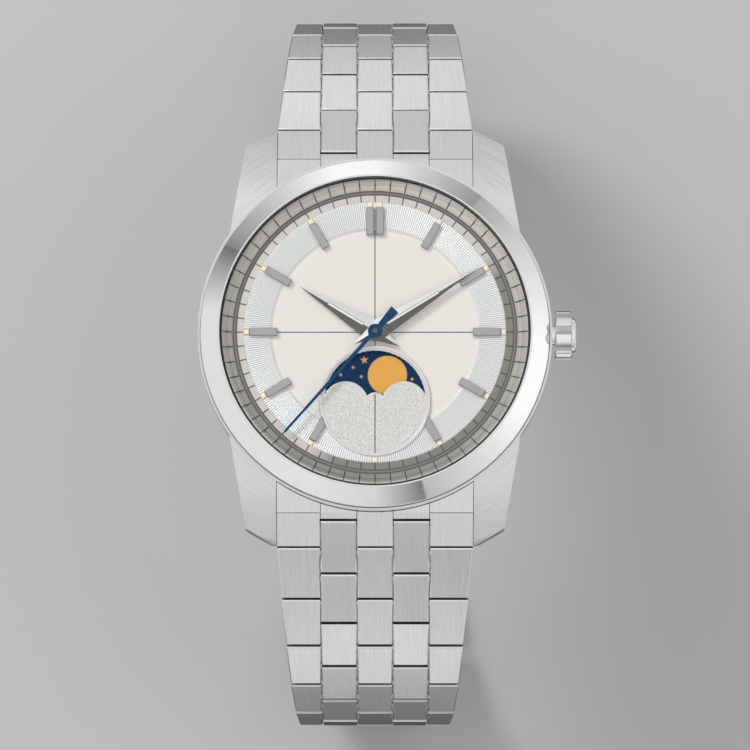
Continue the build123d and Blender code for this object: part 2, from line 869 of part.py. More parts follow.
third_to_centre = third_angle + 180
with BuildPart() as third_wheel:
    add_wheel(third_axis, third_teeth, third_module, third_to_centre, third_level)
    add_wheel(
        third_axis,
        third_leaves,
        centre_module,
        mesh_phase(third_leaves, third_to_centre),
        third_level,
        leaf_height,
    )
    add_arbor(third_axis, pivot_low, pivot_high)
save(third_wheel.part, "third_wheel")

with BuildPart() as fourth_wheel:
    add_wheel((0, 0), fourth_teeth, escape_module, escape_angle, fourth_level)
    add_wheel((0, 0), fourth_leaves, third_module, mesh_phase(fourth_leaves, third_angle), fourth_level, leaf_height)
    add_arbor((0, 0), pivot_low, seconds_hand_level + hand_thickness, seconds_arbor_radius)
save(fourth_wheel.part, "fourth_wheel")

escape_level = drum_level
escape_root = escape_radius * 0.78
escape_to_centre = escape_angle + 180
escape_points = []
for tooth in range(escape_teeth):
    tooth_angle = tooth * 360 / escape_teeth
    for radius, share in ((escape_root, 0.0), (escape_radius, 0.0), (escape_radius, 0.12), (escape_root, 0.5)):
        point = polar(radius, tooth_angle + share * 360 / escape_teeth)
        escape_points.append((escape_axis[0] + point[0], escape_axis[1] + point[1]))
with BuildPart() as escape_wheel:
    with BuildSketch(Plane.XY.offset(escape_level)):
        Polygon(*escape_points, align=None)
    extrude(amount=wheel_thickness)
    add_wheel(
        escape_axis,
        escape_leaves,
        escape_module,
        mesh_phase(escape_leaves, escape_to_centre),
        fourth_level,
        leaf_height,
    )
    add_arbor(escape_axis, pivot_low, pivot_high)
save(escape_wheel.part, "escape_wheel")

# Pallet fork: a lever with two pallets towards the escape wheel and a fork towards the balance
pallet_reach = escape_radius * 0.62
lever_length = staff_distance - balance_radius * 0.25
lever_width = 0.3
fork_plane = Plane(origin=(fork_axis[0], fork_axis[1], escape_level), x_dir=(*fork_step, 0), z_dir=(0, 0, 1))
with BuildPart() as pallet_fork:
    with BuildSketch(fork_plane):
        with Locations((lever_length / 2, 0)):
            Rectangle(lever_length, lever_width)
        Rectangle(lever_width, 2 * pallet_reach)
        for side in (1, -1):
            with Locations((-lever_width, side * pallet_reach)):
                Rectangle(3 * lever_width, lever_width)
    extrude(amount=wheel_thickness)
    add_arbor(fork_axis, pivot_low, pivot_high)
save(pallet_fork.part, "pallet_fork")

balance_level = centre_level
spoke_width = 0.4
staff_plane = Plane(origin=(staff_axis[0], staff_axis[1], balance_level), x_dir=(*fork_step, 0), z_dir=(0, 0, 1))
with BuildPart() as balance_wheel:
    with BuildSketch(staff_plane):
        Circle(balance_radius)
        Circle(balance_radius - balance_rim, mode=Mode.SUBTRACT)
        Rectangle(spoke_width, 2 * balance_radius - balance_rim)
        Circle(spoke_width)
    extrude(amount=balance_height - wheel_gap)
    add_arbor(staff_axis, pivot_low, pivot_high)
save(balance_wheel.part, "balance_wheel")

# Hairspring, one flat spiral between the staff and the cock
hairspring_level = fourth_level
hairspring_growth = (hairspring_outer - hairspring_inner) / hairspring_turns
spiral_arcs = []
spiral_steps = 2 * hairspring_turns
for step in range(spiral_steps):
    inner_radius = hairspring_inner + hairspring_growth * step / 2
    outer_radius = hairspring_inner + hairspring_growth * (step + 1) / 2
    side = 1 if step % 2 == 0 else -1
    start = (staff_axis[0] + side * inner_radius, staff_axis[1])
    end = (staff_axis[0] - side * outer_radius, staff_axis[1])
    spiral_arcs.append((start, end, side))
with BuildPart() as hairspring:
    with BuildSketch(Plane.XY.offset(hairspring_level)):
        for start, end, side in spiral_arcs:
            middle_x = (start[0] + end[0]) / 2
            arc_radius = abs(start[0] - end[0]) / 2
            with BuildLine():
                ThreePointArc(start, (middle_x, staff_axis[1] + side * arc_radius), end)
                outer = ThreePointArc(
                    (end[0] - side * hairspring_width, end[1]),
                    (middle_x, staff_axis[1] + side * (arc_radius + hairspring_width)),
                    (start[0] + side * hairspring_width, start[1]),
                )
                Line(end, (end[0] - side * hairspring_width, end[1]))
                Line((start[0] + side * hairspring_width, start[1]), start)
            make_face()
    extrude(amount=hairspring_height)
save(hairspring.part, "hairspring")

# Minute wheel and its pinion on their post
with BuildPart() as minute_wheel:
    add_wheel(minute_axis, minute_teeth, motion_module, mesh_phase(minute_teeth, minute_to_centre), minute_level)
    add_wheel(
        minute_axis,
        minute_leaves,
        hour_module,
        mesh_phase(minute_leaves, minute_to_centre),
        minute_level,
        leaf_height,
    )
    with BuildSketch(Plane.XY.offset(minute_level)):
        with Locations(minute_axis):
            Circle(post_radius + running_gap)
    extrude(amount=leaf_height, mode=Mode.SUBTRACT)
save(minute_wheel.part, "minute_wheel")

# Ratchet wheel around the barrel's arbor
with BuildPart() as ratchet_wheel:
    with BuildSketch(Plane.XY.offset(fourth_level)):
        add_gear(barrel_axis, ratchet_teeth, ratchet_module)
        with Locations(barrel_axis):
            Circle(arbor_radius + running_gap, mode=Mode.SUBTRACT)
    extrude(amount=wheel_pitch)
save(ratchet_wheel.part, "ratchet_wheel")

# Rotor: a hub on the bridge's post, a thin half-round web and a heavy rim
with BuildPart() as rotor:
    with BuildSketch(Plane.XY.offset(rotor_top - rotor_web_thickness)):
        Circle(rotor_radius)
        with Locations((0, rotor_radius)):
            Rectangle(2 * rotor_radius, 2 * rotor_radius, mode=Mode.SUBTRACT)
    extrude(amount=rotor_web_thickness)
    with BuildSketch(Plane.XY.offset(rotor_bottom)):
        Circle(rotor_radius)
        Circle(rotor_radius - rotor_rim_width, mode=Mode.SUBTRACT)
        with Locations((0, rotor_radius)):
            Rectangle(2 * rotor_radius, 2 * rotor_radius, mode=Mode.SUBTRACT)
    extrude(amount=rotor_rim_height)
    with BuildSketch(Plane.XY.offset(rotor_bottom)):
        Circle(rotor_hub_radius)
    extrude(amount=rotor_rim_height)
    with BuildSketch(Plane.XY.offset(rotor_bottom)):
        Circle(rotor_post_radius + running_gap)
    extrude(amount=rotor_rim_height, mode=Mode.SUBTRACT)
save(rotor.part, "rotor")

# Bracelet columns and their taper
centre_edge = centre_width / 2
inner_edge = centre_edge + column_gap
inner_outer_edge = inner_edge + inner_width
outer_edge = inner_outer_edge + column_gap
lug_fit_width = lug_spacing - 2 * lug_fit


def row_width(row):
    """Overall width at the gap before this row: full at the lugs, narrow from the last tapered row on."""
    share = min(row / taper_rows, 1)
    return lug_fit_width + (clasp_width - lug_fit_width) * share


def row_angle(row):
    """How far a full row points down, in degrees below the dial plane."""
    steps = min(row, taper_rows)
    angle = row_angle_start + row_angle_rate * steps + row_angle_growth * steps**2
    return angle + row_angle_curl * (row - steps)


def along(angle):
    """Unit step down the bracelet on the 12 o'clock side, as (y, z)."""
    return (math.cos(math.radians(angle)), -math.sin(math.radians(angle)))


def outward(angle):
    """Unit step out of the bracelet on the 12 o'clock side, as (y, z)."""
    return (math.sin(math.radians(angle)), math.cos(math.radians(angle)))


def shift(point, angle, forward, out=0.0):
    """Move a (y, z) point along and out of a row."""
    step = along(angle)
    rise = outward(angle)
    return (point[0] + forward * step[0] + out * rise[0], point[1] + forward * step[1] + out * rise[1])


# Pins: each full row has two, and each inner row hangs between two full rows
half_thickness = link_thickness / 2
end_gap_point = (end_gap_y, dial_top - end_gap_drop)
first_full_pin = shift(end_gap_point, row_angle(0), pin_spacing / 2, -half_thickness)
hinge_angles = [first_row_angle]
for row in range(1, link_rows):
    hinge_angles.append((row_angle(row - 1) + row_angle(row)) / 2)
hinge_pins = [shift(first_full_pin, first_row_angle, -pin_spacing)]
for row in range(link_rows):
    inner_end = shift(hinge_pins[row], hinge_angles[row], pin_spacing)
    hinge_pins.append(shift(inner_end, row_angle(row), pin_spacing))

# How far each hinge opens before the outer faces meet
openings = [end_opening]
for row in range(1, link_rows):
    openings.append(row_angle(row) - row_angle(row - 1))
openings.append(row_angle_curl)


def row_outline(angle_in, angle_out, reach_in, reach_out):
    """Side view of a row around its first pin: square outer ends, slanted back towards the wrist."""
    slant_in = half_thickness * math.tan(math.radians(angle_in / 2 + relief_angle))
    slant_out = half_thickness * math.tan(math.radians(angle_out / 2 + relief_angle))
    return [
        (-reach_in, half_thickness),
        (pin_spacing + reach_out, half_thickness),
        (pin_spacing + reach_out, 0),
        (pin_spacing + reach_out - slant_out, -half_thickness),
        (slant_in - reach_in, -half_thickness),
        (-reach_in, 0),
    ]


def side_plane(pin, angle):
    """Sketch plane across the bracelet, with its first axis along the row and its second out of it."""
    step = along(angle)
    return Plane(origin=(0, pin[0], pin[1]), x_dir=(0, step[0], step[1]), z_dir=(1, 0, 0))


def face_plane(pin, angle):
    """Sketch plane on the row's middle, with its second axis along the row."""
    rise = outward(angle)
    return Plane(origin=(0, pin[0], pin[1]), x_dir=(1, 0, 0), z_dir=(0, rise[0], rise[1]))


def bar_reach(opening):
    """How far a bar's outer end stands past its pin, leaving room for that hinge to open."""
    slack = half_thickness * math.tan(math.radians(opening / 2))
    return (pin_spacing - bar_gap) / 2 - slack


def outer_chamfer(part, angle):
    """The edges of the outward faces of a row."""
    rise = outward(angle)
    faces = [face for face in part.faces() if face.normal_at().dot(Vector(0, rise[0], rise[1])) > 0.999]
    return [edge for face in faces for edge in face.edges()]


def full_row(row):
    """The centre bar and the two outer bars of a full row."""
    angle = row_angle(row)
    first_pin = shift(hinge_pins[row], hinge_angles[row], pin_spacing)
    reach_in = bar_reach(openings[row])
    reach_out = bar_reach(openings[row + 1])
    start_width = row_width(row)
    end_width = row_width(row + 1)
    with BuildPart() as bars:
        with BuildSketch(side_plane(first_pin, angle)):
            Polygon(*row_outline(openings[row], openings[row + 1], reach_in, reach_out), align=None)
        extrude(amount=lug_spacing / 2, both=True)
        with BuildSketch(face_plane(first_pin, angle)):
            with Locations((0, pin_spacing / 2)):
                Rectangle(centre_width, 2 * pin_spacing)
            for side in (1, -1):
                Polygon(
                    (side * outer_edge, -pin_spacing / 2),
                    (side * start_width / 2, -pin_spacing / 2),
                    (side * end_width / 2, pin_spacing * 3 / 2),
                    (side * outer_edge, pin_spacing * 3 / 2),
                    align=None,
                )
        extrude(amount=link_thickness, both=True, mode=Mode.INTERSECT)
        chamfer(outer_chamfer(bars.part, angle), edge_chamfer)
        with BuildSketch(side_plane(first_pin, angle)):
            Circle(pin_radius + seat_gap)
            with Locations((pin_spacing, 0)):
                Circle(pin_radius + seat_gap)
        extrude(amount=end_width / 2 - pin_cover, both=True, mode=Mode.SUBTRACT)
    return bars.part


def inner_row(row):
    """The two inner bars of a unit, which turn on the pin before them."""
    angle = hinge_angles[row]
    next_bend = openings[row + 1] if row + 1 < link_rows else row_angle_curl
    reach_in = first_bar_reach if row == 0 else bar_reach(openings[row])
    with BuildPart() as bars:
        with BuildSketch(side_plane(hinge_pins[row], angle)):
            Polygon(*row_outline(openings[row], next_bend, reach_in, bar_reach(next_bend)), align=None)
            if row == 0:
                Polygon(
                    (-overrun, 0),
                    (-first_bar_reach, 0),
                    (half_thickness - first_bar_reach, -half_thickness),
                    (half_thickness - first_bar_reach, -overrun),
                    (-overrun, -overrun),
                    align=None,
                    mode=Mode.SUBTRACT,
                )
        extrude(amount=inner_outer_edge, both=True)
        with BuildSketch(face_plane(hinge_pins[row], angle)):
            for side in (1, -1):
                with Locations((side * (inner_edge + inner_outer_edge) / 2, pin_spacing / 2)):
                    Rectangle(inner_width, 3 * pin_spacing)
        extrude(amount=link_thickness, both=True, mode=Mode.INTERSECT)
        chamfer(outer_chamfer(bars.part, angle), edge_chamfer)
        with BuildSketch(side_plane(hinge_pins[row], angle)):
            Circle(pin_radius + running_gap)
            with Locations((pin_spacing, 0)):
                Circle(pin_radius + seat_gap)
        extrude(amount=lug_spacing, both=True, mode=Mode.SUBTRACT)
    return bars.part


def row_pins(row, last_length):
    """The pin inside a unit and the pin that carries the next one."""
    length = row_width(row + 1) / 2 - pin_cover - seat_gap
    first_pin = shift(hinge_pins[row], hinge_angles[row], pin_spacing)
    with BuildPart() as pins:
        with BuildSketch(side_plane(first_pin, row_angle(row))):
            Circle(pin_radius)
        extrude(amount=length, both=True)
        with BuildSketch(side_plane(hinge_pins[row + 1], row_angle(row))):
            Circle(pin_radius)
        extrude(amount=last_length, both=True)
    return pins.part


for row in range(link_rows):
    last_pin_length = row_width(row + 1) / 2 - pin_cover - seat_gap
    upper = full_row(row).solids() + inner_row(row).solids()
    number = row + 1
    save(Compound(children=upper + row_pins(row, last_pin_length).solids()), f"link_12_{number}")
    if number == link_rows:
        last_pin_length = centre_edge - edge_chamfer
    lower = upper + row_pins(row, last_pin_length).solids()
    save(Compound(children=[piece.mirror(Plane.XZ) for piece in lower]), f"link_6_{number}")

# End links, which fill the space between the lugs and carry the first bars of the bracelet
crease_z = end_gap_point[1] + (end_gap_y - crease_y) * math.tan(math.radians(end_slope))
end_start_z = crease_z + (crease_y - end_start_y) * math.tan(math.radians(end_start_slope))
end_slack = half_thickness * math.tan(math.radians(end_opening / 2))
end_face = -bar_reach(end_opening) - bar_gap - end_slack
end_bottom = spring_bar_z - spring_bar_radius - end_wall
end_overlap = shift(end_gap_point, end_slope, half_thickness)
channel_reach = first_bar_reach + bar_gap + 2 * end_slack
channel_depth = channel_reach / math.sqrt(2)
down = side_plane(first_full_pin, row_angle(0)).to_local_coords(Vector(0, 0, -overrun))
down_origin = side_plane(first_full_pin, row_angle(0)).to_local_coords(Vector(0, 0, 0))
with BuildPart() as end_link:
    with BuildSketch(Plane.YZ):
        Polygon(
            (end_start_y, end_start_z),
            (crease_y, crease_z),
            end_overlap,
            (end_overlap[0], end_bottom),
            (spring_bar_y - spring_bar_radius - 2 * end_wall, end_bottom),
            (end_start_y, band_bottom),
            align=None,
        )
    extrude(amount=lug_fit_width / 2, both=True)
    with BuildSketch(Plane.XY.offset(-overrun)):
        Circle(case_radius + lug_fit)
    extrude(amount=dial_top + overrun, mode=Mode.SUBTRACT)
    with BuildSketch(side_plane(first_full_pin, row_angle(0))):
        Polygon(
            (end_face, overrun),
            (end_face, -half_thickness),
            (end_face + down.X - down_origin.X, down.Y - down_origin.Y - half_thickness),
            (2 * overrun, -2 * overrun),
            (2 * overrun, overrun),
            align=None,
        )
    extrude(amount=lug_spacing, both=True, mode=Mode.SUBTRACT)
    for side in (1, -1):
        channel_plane = side_plane(hinge_pins[0], first_row_angle).offset(side * centre_edge)
        with BuildSketch(channel_plane):
            Polygon(
                (-channel_reach, overrun),
                (-channel_reach, 0),
                (-channel_depth, -channel_depth),
                (0, -channel_reach),
                (pin_radius, -overrun),
                (2 * overrun, -overrun),
                (2 * overrun, overrun),
                align=None,
            )
        extrude(amount=side * (outer_edge - centre_edge), mode=Mode.SUBTRACT)
    with BuildSketch(Plane.YZ):
        with Locations((spring_bar_y, spring_bar_z)):
            Circle(spring_bar_radius + seat_gap)
    extrude(amount=lug_spacing, both=True, mode=Mode.SUBTRACT)
    with BuildSketch(side_plane(hinge_pins[0], first_row_angle)):
        Circle(pin_radius + seat_gap)
    extrude(amount=lug_fit_width / 2 - pin_cover, both=True, mode=Mode.SUBTRACT)

with BuildPart() as end_pin:
    with BuildSketch(side_plane(hinge_pins[0], first_row_angle)):
        Circle(pin_radius)
    extrude(amount=lug_fit_width / 2 - pin_cover - seat_gap, both=True)

end_pieces = end_link.part.solids() + end_pin.part.solids()
save(Compound(children=end_pieces + [piece.mirror(Plane.XZ) for piece in end_pieces]), "end_links")

# Spring bars through the lugs, with their thin ends in the blind holes
with BuildPart() as lug_spring_bars:
    with BuildSketch(Plane.YZ):
        for side in (1, -1):
            with Locations((side * spring_bar_y, spring_bar_z)):
                Circle(spring_bar_radius)
    extrude(amount=lug_spacing / 2 + spring_bar_seat - seat_gap, both=True)
save(lug_spring_bars.part, "lug_spring_bars")

# Clasp: everything is placed from the last pin of each side
clasp_y, clasp_z = hinge_pins[-1]
cover_end = clasp_y - bar_reach(row_angle_curl) - 2 * bar_gap - end_slack
prong_start = cover_end - prong_reach
plate_low = clasp_z - half_thickness
plate_high = plate_low + cover_plate
long_low = plate_high + blade_gap
long_high = long_low + blade_thickness
short_low = long_high + blade_gap
short_high = short_low + blade_thickness
fold_y = clasp_y - clasp_pin_inset
fold_z = short_low - blade_gap / 2 + knuckle_lift
lift_z = long_low + blade_gap
knuckle_space = knuckle_radius + 2 * blade_gap
knuckle_edge = knuckle_half_width + running_gap * 2
prong_radius = half_thickness - blade_gap


def add_side_box(y_low, y_high, z_low, z_high, x_low, x_high, mode=Mode.ADD):
    """Add a block to the open part from its limits along each axis."""
    with BuildSketch(Plane.YZ.offset(x_low)) as section:
        with Locations(((y_low + y_high) / 2, (z_low + z_high) / 2)):
            Rectangle(y_high - y_low, z_high - z_low)
    extrude(section.sketch, amount=x_high - x_low, mode=mode)


def add_side_round(y, z, radius, x_low, x_high, mode=Mode.ADD):
    """Add a round bar along X to the open part."""
    with BuildSketch(Plane.YZ.offset(x_low)) as section:
        with Locations((y, z)):
            Circle(radius)
    extrude(section.sketch, amount=x_high - x_low, mode=mode)


with BuildPart() as clasp_blade_short:
    add_side_box(-fold_y, cover_end, short_low, short_high, -blade_half_width, blade_half_width)
    add_side_box(
        -fold_y - overrun, knuckle_space - fold_y, short_low, short_high, -knuckle_edge, knuckle_edge, Mode.SUBTRACT
    )
    for x_low in (-inner_outer_edge, inner_edge):
        add_side_box(prong_start, clasp_y, clasp_z - prong_radius, short_high, x_low, x_low + inner_width)
        add_side_round(clasp_y, clasp_z, prong_radius, x_low, x_low + inner_width)
    for x_low in (-blade_half_width, knuckle_edge):
        x_high = x_low + blade_half_width - knuckle_edge
        add_side_round(-fold_y, fold_z, knuckle_radius, x_low, x_high)
    add_side_round(-fold_y, fold_z, clasp_pin_radius + seat_gap, -lug_spacing, lug_spacing, Mode.SUBTRACT)
    add_side_round(clasp_y, clasp_z, pin_radius + running_gap, -lug_spacing, lug_spacing, Mode.SUBTRACT)
with BuildPart() as fold_pin:
    add_side_round(-fold_y, fold_z, clasp_pin_radius, -blade_half_width, blade_half_width)
save(Compound(children=clasp_blade_short.part.solids() + fold_pin.part.solids()), "clasp_blade_short")

with BuildPart() as clasp_blade_long:
    add_side_box(
        knuckle_space - fold_y, fold_y - knuckle_space, long_low, long_high, -blade_half_width, blade_half_width
    )
    add_side_box(-fold_y, fold_y, long_low, long_high, -knuckle_half_width, knuckle_half_width)
    add_side_round(-fold_y, fold_z, knuckle_radius, -knuckle_half_width, knuckle_half_width)
    add_side_round(fold_y, lift_z, knuckle_radius, -knuckle_half_width, knuckle_half_width)
    add_side_round(-fold_y, fold_z, clasp_pin_radius + running_gap, -lug_spacing, lug_spacing, Mode.SUBTRACT)
    add_side_round(fold_y, lift_z, clasp_pin_radius + running_gap, -lug_spacing, lug_spacing, Mode.SUBTRACT)
save(clasp_blade_long.part, "clasp_blade_long")

cover_half = clasp_width / 2
button_z = (long_high + short_high) / 2
with BuildPart() as clasp_cover:
    with BuildSketch(Plane.YZ):
        with BuildLine():
            ThreePointArc((-cover_end, plate_low), (0, plate_low - cover_bulge), (cover_end, plate_low))
            Polyline(
                (cover_end, plate_low),
                (cover_end, short_high),
                (-cover_end, short_high),
                (-cover_end, plate_low),
            )
        make_face()
    extrude(amount=cover_half, both=True)
    add_side_box(
        -prong_start,
        prong_start,
        plate_high,
        short_high + overrun,
        cover_wall - cover_half,
        cover_half - cover_wall,
        Mode.SUBTRACT,
    )
    add_side_box(
        prong_start - overrun / 2,
        cover_end + overrun,
        long_high,
        short_high + overrun,
        -blade_half_width - 2 * blade_gap,
        blade_half_width + 2 * blade_gap,
        Mode.SUBTRACT,
    )
    for x_low in (-outer_edge, centre_edge):
        x_high = x_low + outer_edge - centre_edge
        add_side_box(
            prong_start - blade_gap, cover_end + overrun, plate_low - overrun, clasp_z + overrun, x_low, x_high,
            Mode.SUBTRACT,
        )
    for x_low in (-inner_outer_edge, inner_edge):
        x_high = x_low + inner_width
        add_side_box(-clasp_y, -prong_start, clasp_z - prong_radius, clasp_z + prong_radius, x_low, x_high)
        add_side_round(-clasp_y, clasp_z, prong_radius, x_low, x_high)
    for x_low in (-blade_half_width, knuckle_edge):
        x_high = x_low + blade_half_width - knuckle_edge
        add_side_round(fold_y, lift_z, knuckle_radius, x_low, x_high)
    add_side_round(fold_y, lift_z, knuckle_radius + blade_gap, -knuckle_edge, knuckle_edge, Mode.SUBTRACT)
    add_side_round(
        fold_y, lift_z, clasp_pin_radius + seat_gap, -blade_half_width, blade_half_width, Mode.SUBTRACT
    )
    add_side_round(-clasp_y, clasp_z, pin_radius + running_gap, -lug_spacing, lug_spacing, Mode.SUBTRACT)
    add_side_box(
        -button_offset - button_length / 2 - button_clearance,
        button_length / 2 + button_clearance - button_offset,
        button_z - button_height / 2 - button_clearance,
        button_z + button_height / 2 + button_clearance,
        -lug_spacing,
        lug_spacing,
        Mode.SUBTRACT,
    )
with BuildPart() as lift_pin:
    add_side_round(fold_y, lift_z, clasp_pin_radius, -blade_half_width, blade_half_width)
save(Compound(children=clasp_cover.part.solids() + lift_pin.part.solids()), "clasp_cover")

# Push buttons in the cover's side walls, each with a flange behind the wall
wall_inside = cover_half - cover_wall
flange_start = blade_half_width + button_travel + running_gap
for name, side in (("clasp_button_right", 1), ("clasp_button_left", -1)):
    with BuildPart() as button:
        add_side_box(
            -button_offset - button_length / 2,
            button_length / 2 - button_offset,
            button_z - button_height / 2,
            button_z + button_height / 2,
            flange_start,
            cover_half + button_stand,
        )
        add_side_box(
            -button_offset - button_length / 2 - button_flange,
            button_length / 2 + button_flange - button_offset,
            button_z - button_height / 2,
            button_z + button_height / 2,
            flange_start,
            wall_inside - button_clearance,
        )
    shape = button.part if side == 1 else button.part.mirror(Plane.YZ)
    save(shape, name)
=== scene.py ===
import math

import bmesh
import bpy
from mathutils import Matrix, Vector


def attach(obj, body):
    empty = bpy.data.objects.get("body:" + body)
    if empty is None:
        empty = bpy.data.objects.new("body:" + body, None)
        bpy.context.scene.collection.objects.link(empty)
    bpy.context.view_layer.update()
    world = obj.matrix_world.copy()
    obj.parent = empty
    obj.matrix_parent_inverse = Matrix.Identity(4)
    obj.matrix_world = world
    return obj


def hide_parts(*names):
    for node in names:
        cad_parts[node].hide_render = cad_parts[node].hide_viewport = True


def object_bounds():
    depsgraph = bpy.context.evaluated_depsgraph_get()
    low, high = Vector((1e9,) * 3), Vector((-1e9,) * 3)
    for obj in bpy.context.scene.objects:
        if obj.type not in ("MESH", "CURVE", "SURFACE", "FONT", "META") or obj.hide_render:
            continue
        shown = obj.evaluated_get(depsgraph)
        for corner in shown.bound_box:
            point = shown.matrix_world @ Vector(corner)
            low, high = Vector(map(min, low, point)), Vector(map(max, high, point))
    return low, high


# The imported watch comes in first, and every piece below sits on it. Pieces are built in millimetres and become
# metres when they are finished. The floor, the lights and the camera are in metres.
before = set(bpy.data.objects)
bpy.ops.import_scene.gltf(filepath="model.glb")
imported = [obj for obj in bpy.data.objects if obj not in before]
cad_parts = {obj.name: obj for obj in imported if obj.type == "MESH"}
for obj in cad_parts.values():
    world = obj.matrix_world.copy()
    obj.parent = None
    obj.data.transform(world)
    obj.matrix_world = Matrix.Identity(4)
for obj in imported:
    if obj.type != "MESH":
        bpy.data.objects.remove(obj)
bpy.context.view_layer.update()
scene = bpy.context.scene
MM = 0.001

# The body of the watch head, and places in it that the solids share
HEAD = "watch_head"
STEM_LEVEL = 3.22
BAND_TOP = 5.01
MOON_TOP = 5.73
DIAL_TOP = 6.31
PLATE_TOP = DIAL_TOP + 0.08
CRYSTAL_SEAT = 7.06
MOON_CENTRE = Vector((0, -7.0, 0))

# Ridges cut around the dial's ring
RIDGES = 360


# Materials

EVEN = (1, 1, 1)
FLAT = (1, 1, 0)
NOISE_LOW = 0.3
NOISE_HIGH = 0.7
BRUSH_HEIGHT = 0.004
GRAIN_HEIGHT = 0.01
SOFT_STRETCH = 0.2
# How closely the round brush lines lie for each mm of radius, radian around and mm of height
ROUND_STRETCH = (12.0, 0.8, 1.5)


def link(tree, source, target):
    tree.links.new(source, target)


def new_material(name, metallic=0.0, roughness=0.5):
    """A material with only a Principled shader and its output."""
    material = bpy.data.materials.new(name)
    material.use_nodes = True
    shader = material.node_tree.nodes["Principled BSDF"]
    shader.inputs["Metallic"].default_value = metallic
    shader.inputs["Roughness"].default_value = roughness
    return material, material.node_tree, shader


def calculated(tree, operation, *values, kind="ShaderNodeMath", output="Value"):
    """The result of a maths node, fed with other nodes' outputs or with plain values."""
    node = tree.nodes.new(kind)
    node.operation = operation
    for socket, value in zip(node.inputs, values):
        if isinstance(value, bpy.types.NodeSocket):
            link(tree, value, socket)
        else:
            socket.default_value = value
    return node.outputs[output]


def stretched(tree, stretch, turn=0.0):
    """Object coordinates in millimetres, squeezed by a factor along each axis."""
    coordinates = tree.nodes.new("ShaderNodeTexCoord")
    mapping = tree.nodes.new("ShaderNodeMapping")
    mapping.inputs["Rotation"].default_value = (0, 0, math.radians(turn))
    mapping.inputs["Scale"].default_value = [value / MM for value in stretch]
    link(tree, coordinates.outputs["Object"], mapping.inputs["Vector"])
    return mapping.outputs["Vector"]


def dial_angle_and_height(tree):
    """The angle around the dial's axis in radians, and the height in millimetres."""
    split = tree.nodes.new("ShaderNodeSeparateXYZ")
    link(tree, stretched(tree, EVEN), split.inputs["Vector"])
    return calculated(tree, "ARCTAN2", split.outputs["X"], split.outputs["Y"]), split.outputs["Z"]


def noise(tree, vector, scale, detail, roughness):
    texture = tree.nodes.new("ShaderNodeTexNoise")
    texture.inputs["Scale"].default_value = scale
    texture.inputs["Detail"].default_value = detail
    texture.inputs["Roughness"].default_value = roughness
    link(tree, vector, texture.inputs["Vector"])
    return texture.outputs["Fac"]


def ramp(tree, value, low, high, low_at=0.0, high_at=1.0):
    """Map a value to a number between low and high."""
    node = tree.nodes.new("ShaderNodeMapRange")
    node.inputs["From Min"].default_value = low_at
    node.inputs["From Max"].default_value = high_at
    node.inputs["To Min"].default_value = low
    node.inputs["To Max"].default_value = high
    link(tree, value, node.inputs["Value"])
    return node.outputs["Result"]


def tint(tree, shader, value, dark, light, low_at=NOISE_LOW, high_at=NOISE_HIGH):
    """Colour the surface between two colours, by a value."""
    node = tree.nodes.new("ShaderNodeMix")
    node.data_type = "RGBA"
    node.inputs["A"].default_value = (*dark, 1)
    node.inputs["B"].default_value = (*light, 1)
    link(tree, ramp(tree, value, 0, 1, low_at, high_at), node.inputs["Factor"])
    link(tree, node.outputs["Result"], shader.inputs["Base Color"])


def vary_roughness(tree, shader, value, roughness, share):
    """Let a value move the roughness up and down by a share of itself."""
    varied = ramp(tree, value, roughness * (1 - share), roughness * (1 + share), NOISE_LOW, NOISE_HIGH)
    link(tree, varied, shader.inputs["Roughness"])


def relief(tree, shader, height, distance, strength):
    """Raise the surface by a height pattern, distance in millimetres."""
    bump = tree.nodes.new("ShaderNodeBump")
    bump.inputs["Distance"].default_value = distance * MM
    bump.inputs["Strength"].default_value = strength
    link(tree, height, bump.inputs["Height"])
    link(tree, bump.outputs["Normal"], shader.inputs["Normal"])


def brush(tree, shader, vector, dark, light, depth):
    """Cover a metal with fine lines that follow stretched coordinates, and give back their pattern."""
    lines = noise(tree, vector, scale=1.0, detail=5.0, roughness=0.7)
    tint(tree, shader, lines, dark, light)
    relief(tree, shader, lines, BRUSH_HEIGHT, depth)
    return lines


def brushed_steel(name, dark, light, roughness, stretch, turn=0.0, depth=0.25):
    """Steel with fine parallel brush lines."""
    material, tree, shader = new_material(name, metallic=1.0)
    brush(tree, shader, stretched(tree, stretch, turn), dark, light, depth)
    soft_stretch = stretched(tree, [value * SOFT_STRETCH for value in stretch], turn)
    soft = noise(tree, soft_stretch, scale=1.0, detail=2.0, roughness=0.55)
    vary_roughness(tree, shader, soft, roughness, share=0.1)
    return material


def round_brushed_steel(name, dark, light, roughness):
    """Steel with fine brush lines that run around the dial's axis."""
    material, tree, shader = new_material(name, metallic=1.0)
    angle, height = dial_angle_and_height(tree)
    radius = calculated(tree, "LENGTH", stretched(tree, FLAT), kind="ShaderNodeVectorMath")
    polar = tree.nodes.new("ShaderNodeCombineXYZ")
    for socket, value, squeeze in zip(polar.inputs, (radius, angle, height), ROUND_STRETCH):
        link(tree, calculated(tree, "MULTIPLY", value, squeeze), socket)
    lines = brush(tree, shader, polar.outputs["Vector"], dark, light, depth=0.25)
    vary_roughness(tree, shader, lines, roughness, share=0.15)
    return material


def polished_steel(name, colour, roughness):
    """Mirror-bright steel with the faint haze of handling marks."""
    material, tree, shader = new_material(name, metallic=1.0)
    shader.inputs["Base Color"].default_value = (*colour, 1)
    marks = noise(tree, stretched(tree, EVEN), scale=1.7, detail=6.0, roughness=0.75)
    haze = ramp(tree, marks, roughness * 0.6, roughness * 1.8, low_at=0.35, high_at=NOISE_HIGH)
    link(tree, haze, shader.inputs["Roughness"])
    return material


